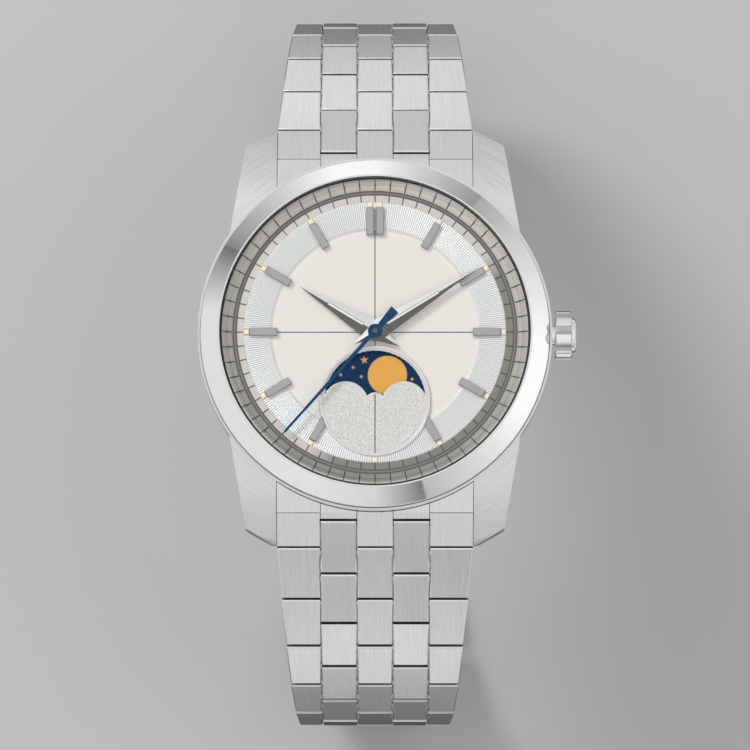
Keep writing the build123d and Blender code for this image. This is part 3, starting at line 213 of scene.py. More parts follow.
def satin_paint(name, dark, light, roughness, grain=6.0, metallic=0.0, depth=0.15, gloss=0.5):
    """A lacquered or plated surface with a fine even grain."""
    material, tree, shader = new_material(name, metallic)
    shader.inputs["Specular IOR Level"].default_value = gloss
    grains = noise(tree, stretched(tree, EVEN), grain, detail=5.0, roughness=0.6)
    tint(tree, shader, grains, dark, light)
    vary_roughness(tree, shader, grains, roughness, share=0.15)
    relief(tree, shader, grains, GRAIN_HEIGHT, depth)
    return material


def engine_turned(name, dark, light, roughness, lines):
    """A silvered ring cut with fine lines that run out from the dial's centre."""
    material, tree, shader = new_material(name, metallic=0.2, roughness=roughness)
    angle, _ = dial_angle_and_height(tree)
    wave = calculated(tree, "COSINE", calculated(tree, "MULTIPLY", angle, lines))
    tint(tree, shader, wave, dark, light, low_at=-0.7, high_at=0.5)
    relief(tree, shader, wave, distance=0.02, strength=0.4)
    return material


def painted_shade_ring(name, dark, light, roughness, light_angle, dark_at, light_at, metallic):
    """A ring with painted light and shade: lighter towards one clockwise angle, where its slope faces the window.
    """
    material, tree, shader = new_material(name, metallic, roughness)
    turn = math.radians(light_angle)
    kind = "ShaderNodeVectorMath"
    outwards = calculated(tree, "NORMALIZE", stretched(tree, FLAT), kind=kind, output="Vector")
    facing = calculated(tree, "DOT_PRODUCT", outwards, (math.sin(turn), math.cos(turn), 0), kind=kind)
    tint(tree, shader, facing, dark, light, dark_at, light_at)
    grains = noise(tree, stretched(tree, EVEN), scale=14.0, detail=5.0, roughness=0.6)
    relief(tree, shader, grains, GRAIN_HEIGHT, strength=0.2)
    return material


def frosted_silver(name):
    """Silvered metal with a coarse frosted grain."""
    material, tree, shader = new_material(name, metallic=0.35, roughness=0.45)
    flakes = tree.nodes.new("ShaderNodeTexVoronoi")
    flakes.inputs["Scale"].default_value = 9.0
    link(tree, stretched(tree, EVEN), flakes.inputs["Vector"])
    grains = noise(tree, stretched(tree, EVEN), scale=12.0, detail=3.0, roughness=0.6)
    tint(tree, shader, grains, (0.52, 0.495, 0.475), (0.88, 0.85, 0.825), low_at=0.39, high_at=0.61)
    relief(tree, shader, flakes.outputs["Distance"], distance=0.03, strength=0.7)
    return material


def clear_sapphire(name):
    """Clear crystal: what is behind shows straight through, with a gloss that is strong only at a slant."""
    material, tree, shader = new_material(name)
    tree.nodes.remove(shader)
    clear = tree.nodes.new("ShaderNodeBsdfTransparent")
    clear.inputs["Color"].default_value = (0.985, 0.99, 0.99, 1)
    gloss = tree.nodes.new("ShaderNodeBsdfGlossy")
    gloss.inputs["Color"].default_value = (1, 1, 1, 1)
    gloss.inputs["Roughness"].default_value = 0.02
    slant = calculated(tree, "POWER", tree.nodes.new("ShaderNodeLayerWeight").outputs["Facing"], 5.0)
    mix = tree.nodes.new("ShaderNodeMixShader")
    link(tree, ramp(tree, slant, low=0.005, high=0.5), mix.inputs["Fac"])
    link(tree, clear.outputs["BSDF"], mix.inputs[1])
    link(tree, gloss.outputs["BSDF"], mix.inputs[2])
    link(tree, mix.outputs["Shader"], tree.nodes["Material Output"].inputs["Surface"])
    return material


LENGTHWISE = (22.0, 0.3, 0.3)
ALL_WAYS = (2.0, 2.0, 2.0)
STEEL_BRACELET = brushed_steel("bracelet_steel", (0.70, 0.70, 0.705), (0.86, 0.86, 0.865), 0.21, LENGTHWISE)
STEEL_CASE = round_brushed_steel("case_steel", (0.60, 0.595, 0.59), (0.76, 0.755, 0.75), 0.27)
STEEL_CASE_SIDE = brushed_steel(
    "case_side_steel", (0.64, 0.635, 0.63), (0.76, 0.755, 0.75), 0.27, stretch=(0.4, 0.4, 14.0)
)
STEEL_LINK_SIDE = polished_steel("link_side_steel", (0.80, 0.80, 0.80), 0.16)
STEEL_POLISHED = polished_steel("polished_steel", (0.86, 0.86, 0.855), 0.07)
STEEL_CLASP = brushed_steel("clasp_steel", (0.72, 0.72, 0.73), (0.80, 0.80, 0.81), 0.3, LENGTHWISE)
STEEL_GROUND = brushed_steel("ground_steel", (0.5, 0.5, 0.52), (0.62, 0.62, 0.64), 0.35, stretch=(6.0, 0.8, 6.0))
STEEL_CROWN = polished_steel("crown_steel", (0.90, 0.895, 0.88), 0.08)
# Painted shade: the flutes are painted darker than the crown, as the shade in them.
FLUTE_PAINTED_SHADE = polished_steel("flute_painted_shade", (0.50, 0.495, 0.48), 0.10)
SAPPHIRE = clear_sapphire("sapphire")
RUBBER = satin_paint("black_rubber", (0.02, 0.02, 0.02), (0.035, 0.035, 0.035), 0.7)
NYLON = satin_paint("pale_nylon", (0.56, 0.54, 0.495), (0.60, 0.58, 0.535), 0.5, grain=1.0)
CREAM = satin_paint(
    "cream_dial", (0.865, 0.815, 0.765), (0.89, 0.84, 0.79), 0.42, grain=9.0, metallic=0.15, depth=0.1
)
GUILLOCHE = engine_turned("silvered_ring", (0.58, 0.585, 0.59), (0.93, 0.935, 0.945), 0.45, RIDGES)
# Painted shade: the minute track is darker from about 2 to 6 o'clock and lighter on its upper left.
TRACK_PAINTED_SHADING = painted_shade_ring(
    "track_painted_shading", (0.24, 0.235, 0.20), (0.66, 0.62, 0.57), 0.5,
    light_angle=311.5, dark_at=-0.42, light_at=-0.22, metallic=0.1,
)
# Painted light and shade: the flange slope is painted lighter towards 12 o'clock and darker towards 6 o'clock.
FLANGE_PAINTED_SHADING = painted_shade_ring(
    "flange_grey", (0.37, 0.36, 0.32), (0.83, 0.79, 0.72), 0.3,
    light_angle=8.0, dark_at=-1.0, light_at=1.0, metallic=0.3,
)
# Painted shade: near black for the shade in the groove at the dial's edge, under the flange.
EDGE_GROOVE_PAINTED_SHADE = satin_paint("edge_groove_painted_shade", (0.10, 0.098, 0.09), (0.13, 0.127, 0.118), 0.5, grain=14.0)
# Painted shadow: dark grey for the shadow under the bezel's edge and for the ridge in the shaded edge groove.
PAINTED_SHADOW_LINE = satin_paint("painted_shadow_line", (0.20, 0.197, 0.19), (0.24, 0.237, 0.228), 0.4, grain=14.0)
# Painted shade: dark steel for the shade in the grooves cut into the end links.
GROOVE_PAINTED_SHADE_STEEL = satin_paint(
    "groove_painted_shade_steel", (0.30, 0.30, 0.30), (0.36, 0.36, 0.36), 0.4, grain=14.0, metallic=0.5
)
INK = satin_paint("dial_ink", (0.02, 0.02, 0.02), (0.03, 0.03, 0.03), 0.55, grain=12.0)
FROSTED = frosted_silver("frosted_silver")
PLATE_RIM = satin_paint(
    "plate_rim", (0.74, 0.725, 0.695), (0.80, 0.785, 0.755), 0.25, grain=10.0, metallic=0.4, depth=0.1
)
MOON_BLUE = satin_paint("moon_blue", (0.001, 0.030, 0.108), (0.002, 0.040, 0.138), 0.5, grain=8.0, gloss=0.04)
GILT = satin_paint(
    "moon_gilt", (0.80, 0.385, 0.055), (0.86, 0.43, 0.07), 0.42, grain=7.0, metallic=0.2, depth=0.3
)
BLUED = polished_steel("blued_steel", (0.012, 0.062, 0.175), 0.25)
PIN_STEEL = polished_steel("pin_steel", (0.15, 0.135, 0.125), 0.25)
# The hands' facets: one in plain steel, the other painted dark as shade.
HAND_LIGHT = brushed_steel("hand_bright", (0.74, 0.74, 0.74), (0.80, 0.80, 0.80), 0.2, ALL_WAYS, depth=0.1)
HAND_PAINTED_SHADE = brushed_steel(
    "hand_painted_shade", (0.125, 0.122, 0.118), (0.16, 0.157, 0.153), 0.3, ALL_WAYS, depth=0.1
)
BAR_STEEL = satin_paint(
    "bar_steel", (0.37, 0.372, 0.375), (0.42, 0.422, 0.425), 0.38, grain=16.0, metallic=0.8, depth=0.1
)
LUME = satin_paint("lume", (0.97, 0.91, 0.81), (1.0, 0.96, 0.88), 0.6, grain=18.0, depth=0.3)
LUME_EDGE = satin_paint("lume_edge", (0.92, 0.62, 0.33), (0.96, 0.69, 0.40), 0.5, grain=18.0)
NICKEL = brushed_steel(
    "nickel_plate", (0.66, 0.65, 0.62), (0.76, 0.75, 0.72), 0.3, stretch=(1.2, 9.0, 1.2), turn=35.0
)
BRASS = satin_paint("gilt_brass", (0.62, 0.45, 0.18), (0.72, 0.54, 0.24), 0.28, grain=3.0, metallic=1.0)
SPRING_BLUE = polished_steel("blued_spring", (0.05, 0.09, 0.25), 0.2)


# Building and finishing pieces

ORIGIN = (0, 0, 0)
MERGE_DISTANCE = 0.0005
TURN_STEPS = 240
ARC_STEPS = 3
FLAT_ANGLE = math.radians(1.0)
SHARP_ANGLE = math.radians(30.0)


def finish(name, shape, material, body, replaces=(), smooth=30.0, extra=()):
    """Turn a shape in millimetres into a named piece that rides on a body."""
    bmesh.ops.scale(shape, vec=(MM, MM, MM), verts=shape.verts)
    mesh = bpy.data.meshes.new(name)
    shape.to_mesh(mesh)
    shape.free()
    mesh.polygons.foreach_set("use_smooth", [True] * len(mesh.polygons))
    mesh.set_sharp_from_angle(angle=math.radians(smooth))
    piece = bpy.data.objects.new(name, mesh)
    scene.collection.objects.link(piece)
    for one in (material, *extra):
        mesh.materials.append(one)
    weights = piece.modifiers.new("even_normals", "WEIGHTED_NORMAL")
    weights.keep_sharp = True
    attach(piece, body)
    if replaces:
        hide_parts(*replaces)
    return piece


def merge(shape):
    bmesh.ops.remove_doubles(shape, verts=shape.verts, dist=MERGE_DISTANCE)


def outward(shape):
    """Merge what meets and point every face outwards."""
    merge(shape)
    bmesh.ops.recalc_face_normals(shape, faces=shape.faces)
    return shape


def everything(shape):
    return shape.verts[:] + shape.edges[:] + shape.faces[:]


def steps_between(start, end, count):
    return [start + (end - start) * step / count for step in range(count + 1)]


def spin(points, steps, closed):
    """Spin a line of points once around the dial's axis."""
    shape = bmesh.new()
    corners = [shape.verts.new(point) for point in points]
    edges = [shape.edges.new(pair) for pair in zip(corners, corners[1:])]
    if closed:
        edges.append(shape.edges.new((corners[-1], corners[0])))
    bmesh.ops.spin(
        shape, geom=corners + edges, cent=ORIGIN, axis=(0, 0, 1), angle=2 * math.pi, steps=steps, use_merge=True
    )
    return shape


def turned(profile):
    """A ring with a closed profile of (radius, height) points."""
    return outward(spin([(radius, 0, height) for radius, height in profile], TURN_STEPS, closed=True))


def rounded(profile, radius):
    """A profile with each corner cut back to a short arc."""
    points = []
    for index, corner in enumerate(profile):
        here = Vector(corner)
        before = Vector(profile[index - 1]) - here
        after = Vector(profile[(index + 1) % len(profile)]) - here
        reach = min(radius, before.length / 3, after.length / 3)
        start = here + before.normalized() * reach
        end = here + after.normalized() * reach
        for share in steps_between(0, 1, ARC_STEPS):
            first = start.lerp(here, share)
            second = here.lerp(end, share)
            points.append(tuple(first.lerp(second, share)))
    return points


def clock(radius, angle, across=0.0, height=0.0):
    """The point at this radius and clockwise angle from 12 o'clock, moved sideways."""
    turn = math.radians(angle)
    x = radius * math.sin(turn) + across * math.cos(turn)
    y = radius * math.cos(turn) - across * math.sin(turn)
    return Vector((x, y, height))


def turn_clockwise(shape, verts, angle):
    """Turn some points about the dial's axis."""
    bmesh.ops.rotate(shape, cent=ORIGIN, matrix=Matrix.Rotation(-math.radians(angle), 3, "Z"), verts=verts)


def add_block(shape, start, end, width, low, high, angle, bevel=0.0, across=0.0, segments=1):
    """Add a bar that points outwards at a clockwise angle, from one radius to another."""
    made = bmesh.ops.create_cube(shape, size=1.0)["verts"]
    bmesh.ops.scale(shape, vec=(width, end - start, high - low), verts=made)
    if bevel:
        top = [
            edge for edge in shape.edges
            if edge.verts[0] in made and edge.verts[0].co.z + edge.verts[1].co.z > 0.9 * (high - low)
        ]
        cut = bmesh.ops.bevel(
            shape, geom=top, offset=bevel, offset_type="OFFSET", affect="EDGES", segments=segments, profile=0.5,
            material=-1,
        )
        kept = {vert for vert in made if vert.is_valid}
        made = list({vert for face in cut["faces"] for vert in face.verts} | kept)
    bmesh.ops.translate(shape, vec=(across, (start + end) / 2, (low + high) / 2), verts=made)
    turn_clockwise(shape, made, angle)


def add_disc(shape, centre, bottom_radius, top_radius, thickness, segments):
    """Add a disc with a sloping edge, around a centre point."""
    made = bmesh.ops.create_cone(
        shape, cap_ends=True, segments=segments, radius1=bottom_radius, radius2=top_radius, depth=thickness
    )["verts"]
    bmesh.ops.translate(shape, vec=centre, verts=made)


def lift(shape, faces, height):
    """Extrude faces upwards, and give back the new ones."""
    made = bmesh.ops.extrude_face_region(shape, geom=faces)["geom"]
    moved = [item for item in made if isinstance(item, bmesh.types.BMVert)]
    bmesh.ops.translate(shape, vec=(0, 0, height), verts=moved)
    return [item for item in made if isinstance(item, bmesh.types.BMFace)]


def sink(shape, faces, depth):
    """Extrude faces downwards and delete the ones they leave behind, and give back the new ones."""
    made = lift(shape, faces, -depth)
    bmesh.ops.delete(shape, geom=[face for face in faces if face.is_valid], context="FACES_ONLY")
    return made


def clean_copy(node):
    """A copy of a node's mesh in millimetres, merged, with its flat faces joined."""
    shape = bmesh.new()
    shape.from_mesh(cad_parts[node].data)
    bmesh.ops.scale(shape, vec=(1 / MM,) * 3, verts=shape.verts)
    merge(shape)
    bmesh.ops.dissolve_limit(
        shape, angle_limit=FLAT_ANGLE, verts=shape.verts, edges=shape.edges, delimit={"NORMAL"}
    )
    return shape


def eased(shape, bevel):
    """Round off the sharp edges of a shape."""
    sharp = [edge for edge in shape.edges if len(edge.link_faces) == 2 and edge.calc_face_angle(0) > SHARP_ANGLE]
    bmesh.ops.bevel(
        shape, geom=sharp, offset=bevel, offset_type="OFFSET", affect="EDGES", segments=2, profile=0.5,
        clamp_overlap=True, material=-1,
    )
    return shape


def second_material(shape, chosen):
    """Give the second material to the faces that a test picks."""
    shape.normal_update()
    for face in shape.faces:
        face.material_index = int(chosen(face))
    return shape


def axis_distance(face):
    """How far the middle of a face lies from the dial's axis."""
    return face.calc_center_median().xy.length


# Bracelet units, with brighter sides where a face's normal lies almost straight across
LINK_SIDE_LEAST = 0.9
for side in ("12", "6"):
    for number in range(1, 10):
        node = f"link_{side}_{number}"
        bars = eased(clean_copy(node), bevel=0.07)
        second_material(bars, lambda face: abs(face.normal.x) > LINK_SIDE_LEAST)
        finish(
            f"{node}_bars", bars, STEEL_BRACELET, f"unit_{side}_{number}", [node],
            extra=[STEEL_LINK_SIDE],
        )

# End links: set back a little before the first row, with column lines and crease lines cut into their tops
COLUMN_EDGES = (1.84, 5.53)
CREASE = 18.1
GROOVE_WIDTH = 0.09
GROOVE_DEPTH = 0.1
SETBACK = 0.1
SETBACK_ZONE = 1.5
TOP_LEAST = 0.4


def in_groove(face):
    """Whether a face lies in a column line or a crease line on top of the end links."""
    middle = face.calc_center_median()
    column = any(abs(abs(middle.x) - x) < GROOVE_WIDTH / 2 for x in COLUMN_EDGES)
    crease = abs(abs(middle.y) - CREASE) < GROOVE_WIDTH / 2 and abs(middle.x) > COLUMN_EDGES[1]
    return face.normal.z > TOP_LEAST and (column or crease)


end_links = clean_copy("end_links")
outer_end = max(abs(vert.co.y) for vert in end_links.verts)
for vert in end_links.verts:
    if abs(vert.co.y) > outer_end - SETBACK_ZONE:
        vert.co.y -= math.copysign(SETBACK, vert.co.y)
eased(end_links, bevel=0.08)
cuts = [(Vector((side * x, 0, 0)), Vector((1, 0, 0))) for side in (1, -1) for x in COLUMN_EDGES]
cuts += [(Vector((0, side * CREASE, 0)), Vector((0, 1, 0))) for side in (1, -1)]
for place, normal in cuts:
    for shift in (-GROOVE_WIDTH / 2, GROOVE_WIDTH / 2):
        bmesh.ops.bisect_plane(
            end_links, geom=everything(end_links), plane_co=place + normal * shift, plane_no=normal
        )
end_links.normal_update()
# The floors of the column and crease lines are painted dark as shade.
for face in sink(end_links, [face for face in end_links.faces if in_groove(face)], GROOVE_DEPTH):
    face.material_index = 1
finish(
    "end_links_steel", end_links, STEEL_BRACELET, HEAD, ["end_links"], extra=[GROOVE_PAINTED_SHADE_STEEL]
)

# Spring bars and clasp
for node, body in (
    ("lug_spring_bars", HEAD),
    ("clasp_cover", "clasp_outer"),
    ("clasp_blade_long", "clasp_middle"),
    ("clasp_blade_short", "clasp_inner"),
    ("clasp_button_left", "button_left"),
    ("clasp_button_right", "button_right"),
):
    finish(f"{node}_steel", clean_copy(node), STEEL_CLASP, body, [node])

# Case, with its lugs and band: brushed around on top, and straight on the sides, whose normals hardly rise
CASE_SIDE_MOST = 0.3
case = eased(clean_copy("case_middle"), bevel=0.13)
second_material(case, lambda face: abs(face.normal.z) < CASE_SIDE_MOST)
finish("case_body", case, STEEL_CASE, HEAD, ["case_middle"], extra=[STEEL_CASE_SIDE])

# Crown, with painted shade in its flutes
FLUTE_REACH = 2.42
FLUTE_START = 18.3
FLUTE_END = 19.96


def in_flute(face):
    """Whether a face of the crown lies below the tops of the flutes."""
    middle = face.calc_center_median()
    return math.hypot(middle.y, middle.z - STEM_LEVEL) < FLUTE_REACH and FLUTE_START < middle.x < FLUTE_END


crown = second_material(eased(clean_copy("crown"), bevel=0.05), in_flute)
finish("crown_body_steel", crown, STEEL_CROWN, "crown_body", ["crown"], extra=[FLUTE_PAINTED_SHADE])

# Crown tube and back
for name, node, material, slot in (
    ("crown_tube_steel", "crown_tube", STEEL_POLISHED, "polished_steel"),
    ("back_ring", "case_back_ring", STEEL_GROUND, "polished_steel"),
    ("back_window", "case_back_window", SAPPHIRE, "sapphire"),
):
    finish(name, clean_copy(node), material, HEAD, [node])

# Bezel, a broad polished slope with eased edges
BEZEL_IN = 15.72
BEZEL_SEAT = 16.02
BEZEL_OUT = 17.7
BEZEL_PROFILE = [
    (BEZEL_SEAT, BAND_TOP),
    (BEZEL_OUT, BAND_TOP),
    (BEZEL_OUT, DIAL_TOP - 0.6),
    (15.86, DIAL_TOP + 1.608),
    (BEZEL_IN, DIAL_TOP + 1.625),
    (BEZEL_IN, CRYSTAL_SEAT),
    (BEZEL_SEAT, CRYSTAL_SEAT),
]
bezel = turned(rounded(BEZEL_PROFILE, radius=0.09))
finish("bezel_ring", bezel, STEEL_POLISHED, HEAD, ["bezel"])

# A thin ring painted dark as the shadow in the gap where the bezel meets the case
SEAM_IN = BEZEL_OUT - 0.01
SEAM_OUT = BEZEL_OUT + 0.07
SEAM_TOP = BAND_TOP + 0.012
SEAM_PROFILE = [(SEAM_IN, BAND_TOP), (SEAM_OUT, BAND_TOP), (SEAM_OUT, SEAM_TOP), (SEAM_IN, SEAM_TOP)]
finish("bezel_seam_painted_shadow", turned(SEAM_PROFILE), PAINTED_SHADOW_LINE, HEAD)

# Crystal, domed above and hollow below, with a bevelled rim
CRYSTAL_RADIUS = 15.58
CRYSTAL_LOW = CRYSTAL_SEAT + 0.11
DOME_RADIUS = 15.15
DOME_TOP = DIAL_TOP + 3.1
DOME_RISE = 0.45
HOLLOW_RADIUS = 14.7
HOLLOW_TOP = DIAL_TOP + 1.6
HOLLOW_RISE = 0.3
DOME_STEPS = 12
crystal_profile = [
    (HOLLOW_RADIUS, HOLLOW_TOP - HOLLOW_RISE),
    (HOLLOW_RADIUS, CRYSTAL_LOW),
    (CRYSTAL_RADIUS, CRYSTAL_LOW),
    (CRYSTAL_RADIUS, DIAL_TOP + 2.22),
]
for share in steps_between(1, 0, DOME_STEPS):
    crystal_profile.append((DOME_RADIUS * share, DOME_TOP - DOME_RISE * share**2))
for share in steps_between(0, 1, DOME_STEPS)[:-1]:
    crystal_profile.append((HOLLOW_RADIUS * share, HOLLOW_TOP - HOLLOW_RISE * share**2))
crystal = finish("crystal_dome", turned(crystal_profile), SAPPHIRE, HEAD, ["crystal"])
crystal.visible_shadow = False

# Crystal gasket, dark where it closes the gap around the crystal
GASKET_IN = 15.3
GASKET_FLAT = 15.49
GASKET_LIP = 15.62
GASKET_OUT = 15.7
GASKET_TOP = CRYSTAL_SEAT + 0.08
LIP_TOP = CRYSTAL_SEAT + 0.45
gasket = turned([
    (GASKET_IN, CRYSTAL_SEAT), (GASKET_OUT, CRYSTAL_SEAT), (GASKET_OUT, LIP_TOP), (GASKET_LIP, LIP_TOP),
    (GASKET_LIP, GASKET_TOP), (GASKET_FLAT, GASKET_TOP), (GASKET_IN, GASKET_TOP),
])
second_material(gasket, lambda face: axis_distance(face) > GASKET_FLAT)
finish("crystal_gasket_ring", gasket, NYLON, HEAD, ["crystal_gasket"], extra=[RUBBER])

# Flange, a slope with a small step in it, with painted light towards 12 o'clock and painted shade towards 6 o'clock
FLANGE_STEP = DIAL_TOP + 0.3
flange = turned([
    (14.42, DIAL_TOP), (15.28, DIAL_TOP), (15.28, CRYSTAL_SEAT), (15.25, CRYSTAL_SEAT), (14.93, FLANGE_STEP + 0.1),
    (14.90, FLANGE_STEP + 0.02), (14.86, FLANGE_STEP + 0.05), (14.46, DIAL_TOP + 0.06),
])
finish("flange_slope", flange, FLANGE_PAINTED_SHADING, HEAD, ["flange_ring"])

# Dial around the moon's opening: a sunk cream centre, an engine-turned ring, a minute track and a grooved edge
CENTRE_LEVEL = DIAL_TOP - 0.15
CENTRE_HOLE = 0.85
CENTRE_RADIUS = 10.5
CENTRE_SLOPE = 0.12
CENTRE_ROWS = 60
RING_RADIUS = 13.28
TRACK_RADIUS = 13.95
DIAL_EDGE = 15.2
OPENING_RADIUS = 5.42
DIAL_THICKNESS = 0.3
DIAL_BOTTOM = DIAL_TOP - DIAL_THICKNESS
RIDGE_DEPTH = 0.02
RIDGE_ROWS = 17


def dial_sheet(profile, steps, ridge=0.0):
    """An open sheet of the dial, without the moon's opening, and with every other line of points a ridge deeper."""
    shape = spin([(0, radius, height) for radius, height in profile], steps, closed=False)
    merge(shape)
    if ridge:
        for vert in shape.verts:
            step = math.atan2(vert.co.x, vert.co.y) / (2 * math.pi) * steps
            if round(step) % 2:
                vert.co.z -= ridge
    hidden = [
        face for face in shape.faces if (face.calc_center_median() - MOON_CENTRE).xy.length < OPENING_RADIUS
    ]
    bmesh.ops.delete(shape, geom=hidden, context="FACES")
    bmesh.ops.recalc_face_normals(shape, faces=shape.faces)
    if sum(face.normal.z for face in shape.faces) < 0:
        bmesh.ops.reverse_faces(shape, faces=shape.faces)
    return shape


def backed(piece):
    """Give an open sheet the dial's thickness, downwards."""
    solid = piece.modifiers.new("thickness", "SOLIDIFY")
    solid.thickness = DIAL_THICKNESS * MM
    solid.offset = -1


centre_radii = steps_between(CENTRE_HOLE, CENTRE_RADIUS - CENTRE_SLOPE, CENTRE_ROWS)
centre_profile = [(radius, CENTRE_LEVEL) for radius in centre_radii] + [(CENTRE_RADIUS, DIAL_TOP)]
centre_sheet = dial_sheet(centre_profile, TURN_STEPS)
backed(finish("dial_centre", centre_sheet, CREAM, HEAD, ["dial_plate"], smooth=20.0))
ring_profile = [(radius, DIAL_TOP) for radius in steps_between(CENTRE_RADIUS, RING_RADIUS, RIDGE_ROWS)]
ring_sheet = dial_sheet(ring_profile, 2 * RIDGES, ridge=RIDGE_DEPTH)
backed(finish("dial_turned_ring", ring_sheet, GUILLOCHE, HEAD, smooth=1.0))
# The minute track, painted darker on its lower right as shade.
track = turned([
    (RING_RADIUS, DIAL_BOTTOM), (RING_RADIUS, DIAL_TOP - 0.01), (TRACK_RADIUS, DIAL_TOP - 0.05),
    (TRACK_RADIUS, DIAL_BOTTOM),
])
finish("dial_minute_track", track, TRACK_PAINTED_SHADING, HEAD)
GROOVE_FLOOR = DIAL_TOP - 0.06
STRIP_IN = 14.12
STRIP_OUT = 14.27
# The dial's edge groove, painted near black as the shade under the flange, with its ridge painted a little lighter.
edge_groove = turned([
    (TRACK_RADIUS, DIAL_BOTTOM), (TRACK_RADIUS, GROOVE_FLOOR), (14.11, GROOVE_FLOOR), (14.14, DIAL_TOP - 0.03),
    (14.25, DIAL_TOP - 0.03), (14.28, GROOVE_FLOOR), (14.44, GROOVE_FLOOR), (DIAL_EDGE, DIAL_TOP - 0.02),
    (DIAL_EDGE, DIAL_BOTTOM),
])
second_material(edge_groove, lambda face: STRIP_IN < axis_distance(face) < STRIP_OUT)
finish("dial_edge_groove", edge_groove, EDGE_GROOVE_PAINTED_SHADE, HEAD, extra=[PAINTED_SHADOW_LINE])

# Printed lines: minute ticks on the track, on the flange and on the gasket, and the cross through the dial
TICK_ANGLES = range(0, 360, 6)
TICK_WIDTH = 0.09
FLANGE_LINE_WIDTH = 0.1
FLANGE_LINE = (FLANGE_LINE_WIDTH, 1.06, 0.03)
FLANGE_LINE_PLACE = (0, 14.86, DIAL_TOP + 0.405)
FLANGE_LINE_SLOPE = math.radians(42)
CROSS_WIDTH = 0.095
CROSS_START = 0.9
CROSS_ARMS = [(0, CENTRE_RADIUS - 0.1), (90, 9.9), (270, 9.9), (180, 1.45)]  # angle and outer end
PLATE_LINE_START = 6.32
PLATE_LINE_END = 12.4
ticks = bmesh.new()
for angle in TICK_ANGLES:
    add_block(ticks, RING_RADIUS + 0.01, TRACK_RADIUS, TICK_WIDTH, GROOVE_FLOOR, DIAL_TOP + 0.004, angle)
finish("minute_ticks", outward(ticks), INK, HEAD)

flange_lines = bmesh.new()
for angle in TICK_ANGLES:
    made = bmesh.ops.create_cube(flange_lines, size=1.0)["verts"]
    bmesh.ops.scale(flange_lines, vec=FLANGE_LINE, verts=made)
    bmesh.ops.rotate(flange_lines, cent=ORIGIN, matrix=Matrix.Rotation(FLANGE_LINE_SLOPE, 3, "X"), verts=made)
    bmesh.ops.translate(flange_lines, vec=FLANGE_LINE_PLACE, verts=made)
    turn_clockwise(flange_lines, made, angle)
for angle in TICK_ANGLES:
    add_block(
        flange_lines, GASKET_IN + 0.01, GASKET_FLAT - 0.02, FLANGE_LINE_WIDTH,
        GASKET_TOP - 0.01, GASKET_TOP + 0.01, angle,
    )
finish("flange_lines", outward(flange_lines), INK, HEAD)

cross = bmesh.new()
for angle, end in CROSS_ARMS:
    add_block(cross, CROSS_START, end, CROSS_WIDTH, CENTRE_LEVEL - 0.01, CENTRE_LEVEL + 0.006, angle)
add_block(cross, PLATE_LINE_START, PLATE_LINE_END, CROSS_WIDTH, PLATE_TOP - 0.002, PLATE_TOP + 0.01, 180)
finish("dial_cross", outward(cross), INK, HEAD)

# Hour bars with eased tops, cut away around the moon plate, and a luminous square at the end of each
BAR_IN = 9.92
BAR_OUT = 12.7
BAR_WIDTH = 0.77
BAR_LOW = DIAL_TOP - 0.2
BAR_HIGH = DIAL_TOP + 0.42
PLATE_CLEARANCE = 5.63
LUME_START = BAR_OUT + 0.06
LUME_END = BAR_OUT + 0.52
LUME_WIDTH = 0.44
SEAT_MARGIN = 0.05
SEAT_WIDTH = 0.56
MARKERS = [(hour, across) for hour in range(1, 13) for across in ((-0.5, 0.5) if hour == 12 else (0.0,))]
bars = bmesh.new()
for hour, across in MARKERS:
    if hour == 6:
        continue
    bar = bmesh.new()
    add_block(bar, BAR_IN, BAR_OUT, BAR_WIDTH, BAR_LOW, BAR_HIGH, 30 * hour, bevel=0.06, across=across)
    if hour in (5, 7):
        away = (clock(BAR_IN, 30 * hour) - MOON_CENTRE).normalized()
        cut = bmesh.ops.bisect_plane(
            bar, geom=everything(bar), plane_co=MOON_CENTRE + away * PLATE_CLEARANCE, plane_no=-away,
            clear_outer=True,
        )
        rim = [item for item in cut["geom_cut"] if isinstance(item, bmesh.types.BMEdge)]
        bmesh.ops.edgenet_fill(bar, edges=rim)
    holder = bpy.data.meshes.new("bar")
    bar.to_mesh(holder)
    bar.free()
    bars.from_mesh(holder)
    bpy.data.meshes.remove(holder)
finish("hour_bars", outward(bars), BAR_STEEL, HEAD, ["hour_markers"], smooth=20.0)

lume = bmesh.new()
seats = bmesh.new()
for hour, across in MARKERS:
    add_block(
        lume, LUME_START, LUME_END, LUME_WIDTH, DIAL_TOP, DIAL_TOP + 0.15, 30 * hour,
        bevel=0.06, across=across, segments=2,
    )
    add_block(
        seats, LUME_START - SEAT_MARGIN, LUME_END + SEAT_MARGIN, SEAT_WIDTH, DIAL_TOP - 0.05, DIAL_TOP + 0.1,
        30 * hour, bevel=0.03, across=across,
    )
finish("lume_squares", outward(lume), LUME, HEAD)
finish("lume_seats", outward(seats), LUME_EDGE, HEAD)

# Moon display: frosted plate with a raised rim, blue disc, two gilt moons and the stars
MOON_PLACE = Vector((1.26, -4.33, 0))
MOON_REACH = 2.95
MOON_RADIUS = 2.0
MOON_THICKNESS = 0.05
MOON_BEVEL = 0.03
STAR_THICKNESS = 0.03
STAR_NOTCH = 5.6
RIM_LEVEL = PLATE_TOP + 0.04
PLATE_FLAT_LEAST = 0.97
STARS = [  # x, y, size and turn
    (-1.08, -2.78, 0.94, 5), (-2.22, -3.54, 0.47, 20), (-3.47, -4.28, 0.47, 0), (-1.38, -4.47, 0.49, 12),
    (3.76, -4.73, 0.49, 30), (0.2, -10.6, 0.5, 14), (1.9, -10.2, 0.42, 3), (-1.6, -11.3, 0.42, 22),
    (-3.7, -9.1, 0.3, 10), (3.9, -8.7, 0.42, 18),
]


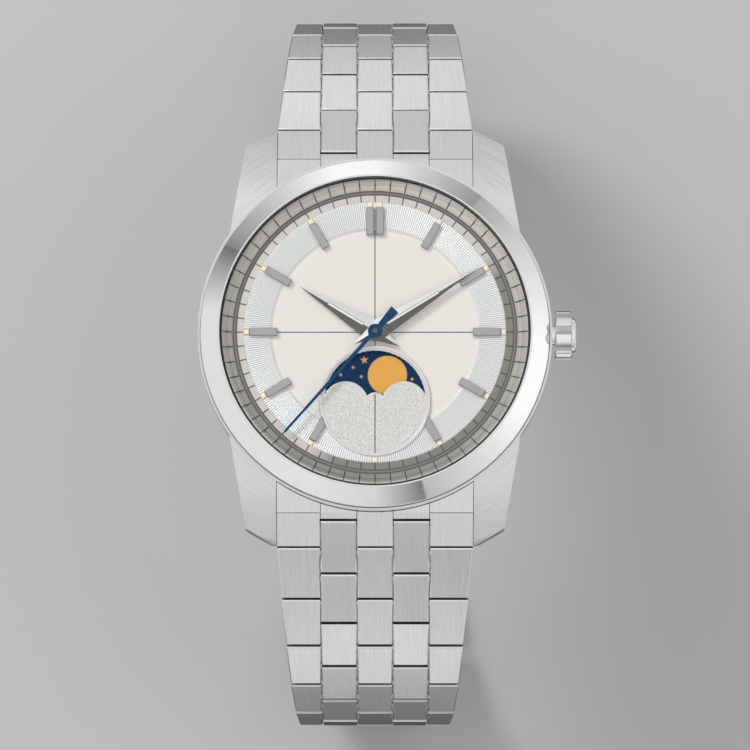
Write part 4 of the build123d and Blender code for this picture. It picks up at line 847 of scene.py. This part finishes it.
def on_rim(face):
    """Whether a face of the moon plate belongs to its smooth rim or edges."""
    return face.normal.z < PLATE_FLAT_LEAST or face.calc_center_median().z > RIM_LEVEL


def add_star(shape, x, y, size, turn):
    """Add a five-pointed star lying on the moon disc."""
    points = []
    for tip in range(10):
        radius = size / 2 if tip % 2 == 0 else size / STAR_NOTCH
        angle = math.radians(turn + 36 * tip)
        points.append(shape.verts.new((x - radius * math.sin(angle), y + radius * math.cos(angle), MOON_TOP)))
    lift(shape, [shape.faces.new(points)], STAR_THICKNESS)


plate = second_material(eased(clean_copy("moon_window_plate"), bevel=0.065), on_rim)
finish("moon_plate", plate, FROSTED, HEAD, ["moon_window_plate"], extra=[PLATE_RIM])
finish("moon_disc_blue", clean_copy("moon_disc"), MOON_BLUE, "moon_body", ["moon_disc"])
moons = bmesh.new()
moon_level = Vector((0, 0, MOON_TOP + MOON_THICKNESS / 2))
for side in (1, -1):
    spot = MOON_CENTRE + moon_level + (MOON_PLACE - MOON_CENTRE).normalized() * MOON_REACH * side
    add_disc(moons, spot, MOON_RADIUS, MOON_RADIUS - MOON_BEVEL, MOON_THICKNESS, segments=96)
finish("gilt_moons", outward(moons), GILT, "moon_body")
stars = bmesh.new()
for star in STARS:
    add_star(stars, *star)
finish("gilt_stars", outward(stars), GILT, "moon_body")

# Hands
HOUR_LEVEL = DIAL_TOP + 0.47
MINUTE_LEVEL = DIAL_TOP + 0.77
SECONDS_LEVEL = DIAL_TOP + 1.0
HOUR_ANGLE = 301.1
MINUTE_ANGLE = 58.4
SECONDS_ANGLE = 221.6
HAND_RISE = 0.2
HAND_THICKNESS = 0.07
SLIT_WIDTH = 0.22
BORDER_WIDTH = 0.32
BORDER_REACH = 0.04
SECONDS_LENGTH = 13.7
SECONDS_TAIL = 2.97
SECONDS_THICKNESS = 0.12
HUB_THICKNESS = 0.16
PIN_LEVEL = SECONDS_LEVEL + 0.2


def faceted_hand(angle, level, length, tail, half_width, shoulder, painted_shade_side):
    """A kite-shaped hand with a ridge along its middle, one side of it painted dark as shade."""
    shape = bmesh.new()
    tip, left, heel, right, peak = [
        shape.verts.new(clock(radius, angle, across, height))
        for radius, across, height in (
            (length, 0, level), (shoulder, -half_width, level), (-tail, 0, level), (shoulder, half_width, level),
            (shoulder, 0, level + HAND_RISE),
        )
    ]
    for side, corners in (
        (-1, (tip, left, peak)), (-1, (left, heel, peak)), (1, (heel, right, peak)), (1, (right, tip, peak))
    ):
        facet = shape.faces.new(corners)
        facet.material_index = 1 if side == painted_shade_side else 0
    sink(shape, [shape.faces.new((tip, right, heel, left))], HAND_THICKNESS)
    return outward(shape)


def hand_slit(name, body, angle, level, start, end):
    """The luminous strip along a hand's ridge, and its dark border in the steel painted as shade."""
    top = level + HAND_RISE
    strip = bmesh.new()
    add_block(strip, start, end, SLIT_WIDTH, level, top, angle, bevel=0.02)
    finish(name, outward(strip), LUME, body)
    border = bmesh.new()
    add_block(
        border, start - BORDER_REACH, end + BORDER_REACH, BORDER_WIDTH, level, top - 0.02, angle, bevel=0.01
    )
    finish(f"{name}_border", outward(border), HAND_PAINTED_SHADE, body)


hour_blade = faceted_hand(
    HOUR_ANGLE, HOUR_LEVEL, length=8.95, tail=2.9, half_width=1.08, shoulder=0.6, painted_shade_side=-1
)
minute_blade = faceted_hand(
    MINUTE_ANGLE, MINUTE_LEVEL, length=12.0, tail=2.5, half_width=1.0, shoulder=0.7, painted_shade_side=1
)
for node, blade, body in (("hour_hand", hour_blade, "hour_body"), ("minute_hand", minute_blade, "minute_body")):
    finish(f"{node}_blade", blade, HAND_LIGHT, body, [node], smooth=5.0, extra=[HAND_PAINTED_SHADE])
hand_slit("hour_hand_lume", "hour_body", HOUR_ANGLE, HOUR_LEVEL, start=1.43, end=5.5)
hand_slit("minute_hand_lume", "minute_body", MINUTE_ANGLE, MINUTE_LEVEL, start=1.47, end=7.54)

seconds = bmesh.new()
seconds_outline = [  # radius and shift across
    (0, 0.2), (SECONDS_LENGTH, 0.12), (SECONDS_LENGTH, -0.12), (0, -0.2), (-SECONDS_TAIL, -0.43),
    (-SECONDS_TAIL, 0.43),
]
seconds_blade = seconds.faces.new([
    seconds.verts.new(clock(radius, SECONDS_ANGLE, across, SECONDS_LEVEL)) for radius, across in seconds_outline
])
lift(seconds, [seconds_blade], SECONDS_THICKNESS)
hub_centre = (0, 0, SECONDS_LEVEL + HUB_THICKNESS / 2)
add_disc(seconds, hub_centre, bottom_radius=0.74, top_radius=0.69, thickness=HUB_THICKNESS, segments=64)
finish("seconds_hand_blade", outward(seconds), BLUED, "fourth_body", ["seconds_hand"])
pin = bmesh.new()
add_disc(pin, (0, 0, PIN_LEVEL), bottom_radius=0.33, top_radius=0.26, thickness=0.12, segments=48)
finish("seconds_hand_pin", outward(pin), PIN_STEEL, "fourth_body")

# The movement and small parts keep their solids, with a finish of their own
KEPT = {
    "stem_seal": RUBBER, "winding_stem": STEEL_GROUND, "movement_ring": NICKEL,
    "main_plate": NICKEL, "train_bridge": NICKEL, "balance_cock": NICKEL, "barrel": BRASS, "centre_wheel": BRASS,
    "third_wheel": BRASS, "fourth_wheel": BRASS, "escape_wheel": STEEL_GROUND, "pallet_fork": STEEL_GROUND,
    "balance_wheel": BRASS, "hairspring": SPRING_BLUE, "minute_wheel": BRASS, "ratchet_wheel": STEEL_GROUND,
    "rotor": BRASS,
}
for node, material in KEPT.items():
    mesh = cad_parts[node].data
    mesh.materials.clear()
    mesh.materials.append(material)


# Floor and studio light

def stage_object(name, shape, material):
    """Turn a shape in metres into an object that belongs to the stage."""
    mesh = bpy.data.meshes.new(name)
    shape.to_mesh(mesh)
    shape.free()
    mesh.materials.append(material)
    made = bpy.data.objects.new(name, mesh)
    scene.collection.objects.link(made)
    return made


FLOOR_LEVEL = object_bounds()[0].z
floor_material, _, floor_shader = new_material("pale_floor", roughness=0.8)
floor_shader.inputs["Base Color"].default_value = (0.60, 0.60, 0.60, 1)
floor_shape = bmesh.new()
bmesh.ops.create_grid(floor_shape, x_segments=1, y_segments=1, size=3.0)
bmesh.ops.translate(floor_shape, vec=(0, 0, FLOOR_LEVEL), verts=floor_shape.verts)
floor = stage_object("floor", floor_shape, floor_material)

world = bpy.data.worlds.new("studio")
world.use_nodes = True
background = world.node_tree.nodes["Background"]
background.inputs["Color"].default_value = (1, 1, 1, 1)
background.inputs["Strength"].default_value = 0.22
scene.world = world


def add_softbox(name, place, size, power):
    """A square studio lamp aimed at the watch."""
    lamp = bpy.data.lights.new(name, "AREA")
    lamp.shape = "SQUARE"
    lamp.size = size
    lamp.energy = power
    lamp_object = bpy.data.objects.new(name, lamp)
    lamp_object.location = place
    lamp_object.rotation_euler = (Vector(ORIGIN) - Vector(place)).to_track_quat("-Z", "Y").to_euler()
    lamp_object.visible_camera = False
    scene.collection.objects.link(lamp_object)


add_softbox("overhead", (0.0, 0.0, 0.8), size=1.8, power=6.9)
add_softbox("key", (-0.42, 0.40, 0.62), size=0.24, power=2.6)

# A round reflector that the camera can't see: the polished steel mirrors its panels, and the bracelet the floor
# card. Each panel has the clockwise angle and the brightness where it starts, and then where it ends. The floor
# card has the radius and the brightness of each of its rings.
REFLECTOR_RADIUS = 0.17
FLOOR_GLOW = 0.87
REFLECTOR_PANELS = [
    (0, 1.10, 16, 0.66), (16, 0.66, 34, 0.33), (34, 0.45, 60, 0.82), (60, 0.82, 88, 1.15), (88, 1.15, 112, 1.15),
    (112, 1.15, 136, 0.84), (136, 0.84, 161, 0.56), (161, 0.20, 180, 0.78), (180, 0.78, 205, 0.89),
    (205, 0.89, 232, 0.86), (232, 0.86, 259, 0.86), (259, 0.86, 284, 0.86), (284, 0.86, 306, 0.16),
    (306, 0.27, 330, 0.72), (330, 0.72, 348, 1.12), (348, 1.12, 360, 1.10),
]
FLOOR_CARD = [
    (0.03, 0.05), (0.042, 0.06), (0.05, 0.17), (0.067, 0.28), (0.079, 0.48), (0.09, 0.66), (0.1, 0.78),
    (0.116, 0.84), (REFLECTOR_RADIUS, FLOOR_GLOW),
]
CARD_LEVEL = FLOOR_LEVEL + 0.0005
CARD_STEP = 15
CARD_GAP = 0.0004
BAND_HALF = 0.007
BAND_EDGE = 0.009


def reflector_levels(angle, glow):
    """Heights and brightnesses up the reflector: the band that the bezel mirrors lies lower towards 12 o'clock."""
    top_share = (1 + math.cos(math.radians(angle))) / 2

    def blend(at_twelve, at_six):
        return at_twelve * top_share + at_six * (1 - top_share)

    band = blend(-0.042, -0.004)
    return [
        (CARD_LEVEL, FLOOR_GLOW),
        (max(band - BAND_EDGE, CARD_LEVEL + CARD_GAP), blend(0.6, 0.42)),
        (max(band - BAND_HALF, CARD_LEVEL + 2 * CARD_GAP), glow),
        (band + BAND_HALF, glow),
        (band + BAND_EDGE, blend(0.6, 0.22)),
        (0.03, blend(0.68, 0.42)),
        (0.09, 0.74),
        (0.25, 0.78),
    ]


def add_glow_panels(shape, layer, left_side, right_side):
    """Add flat panels between two rows of places with their brightnesses."""
    for left, right in zip(zip(left_side, left_side[1:]), zip(right_side, right_side[1:])):
        corners = (left[0], right[0], right[1], left[1])
        panel = shape.faces.new([shape.verts.new(place) for place, glow in corners])
        for loop, (place, glow) in zip(panel.loops, corners):
            loop[layer] = glow


reflector_shape = bmesh.new()
glow_layer = reflector_shape.loops.layers.float.new("glow")
for start, start_glow, end, end_glow in REFLECTOR_PANELS:
    left, right = (
        [(clock(REFLECTOR_RADIUS, angle, 0, height), glow) for height, glow in reflector_levels(angle, panel_glow)]
        for angle, panel_glow in ((start, start_glow), (end, end_glow))
    )
    add_glow_panels(reflector_shape, glow_layer, left, right)
for start in range(0, 360, CARD_STEP):
    rings = [
        [(clock(radius, angle, 0, CARD_LEVEL), glow) for angle in (start, start + CARD_STEP)]
        for radius, glow in FLOOR_CARD
    ]
    for inner, outer in zip(rings, rings[1:]):
        add_glow_panels(reflector_shape, glow_layer, inner, outer)
reflector_material, reflector_tree, reflector_shader = new_material("reflector_glow")
reflector_tree.nodes.remove(reflector_shader)
emission = reflector_tree.nodes.new("ShaderNodeEmission")
glow_value = reflector_tree.nodes.new("ShaderNodeAttribute")
glow_value.attribute_name = "glow"
link(reflector_tree, glow_value.outputs["Fac"], emission.inputs["Strength"])
link(reflector_tree, emission.outputs["Emission"], reflector_tree.nodes["Material Output"].inputs["Surface"])
reflector = stage_object("reflector", reflector_shape, reflector_material)
reflector.visible_camera = False
reflector.visible_diffuse = False
reflector.visible_shadow = False
reflector.visible_transmission = False

# The camera above 6 o'clock
CAMERA_TILT = math.radians(6.47)
CAMERA_DISTANCE = 0.565
CAMERA_TARGET = Vector((0, -4.37, DIAL_TOP)) * MM
camera_data = bpy.data.cameras.new("camera")
camera_data.sensor_width = 36
camera_data.lens = 268.3
camera_data.clip_start = 0.01
camera_data.clip_end = 20
camera = bpy.data.objects.new("camera", camera_data)
back = Vector((0, -math.sin(CAMERA_TILT), math.cos(CAMERA_TILT)))
camera.location = CAMERA_TARGET + back * CAMERA_DISTANCE
camera.rotation_euler = (-back).to_track_quat("-Z", "Y").to_euler()
scene.collection.objects.link(camera)
scene.camera = camera
scene.view_settings.view_transform = "Standard"
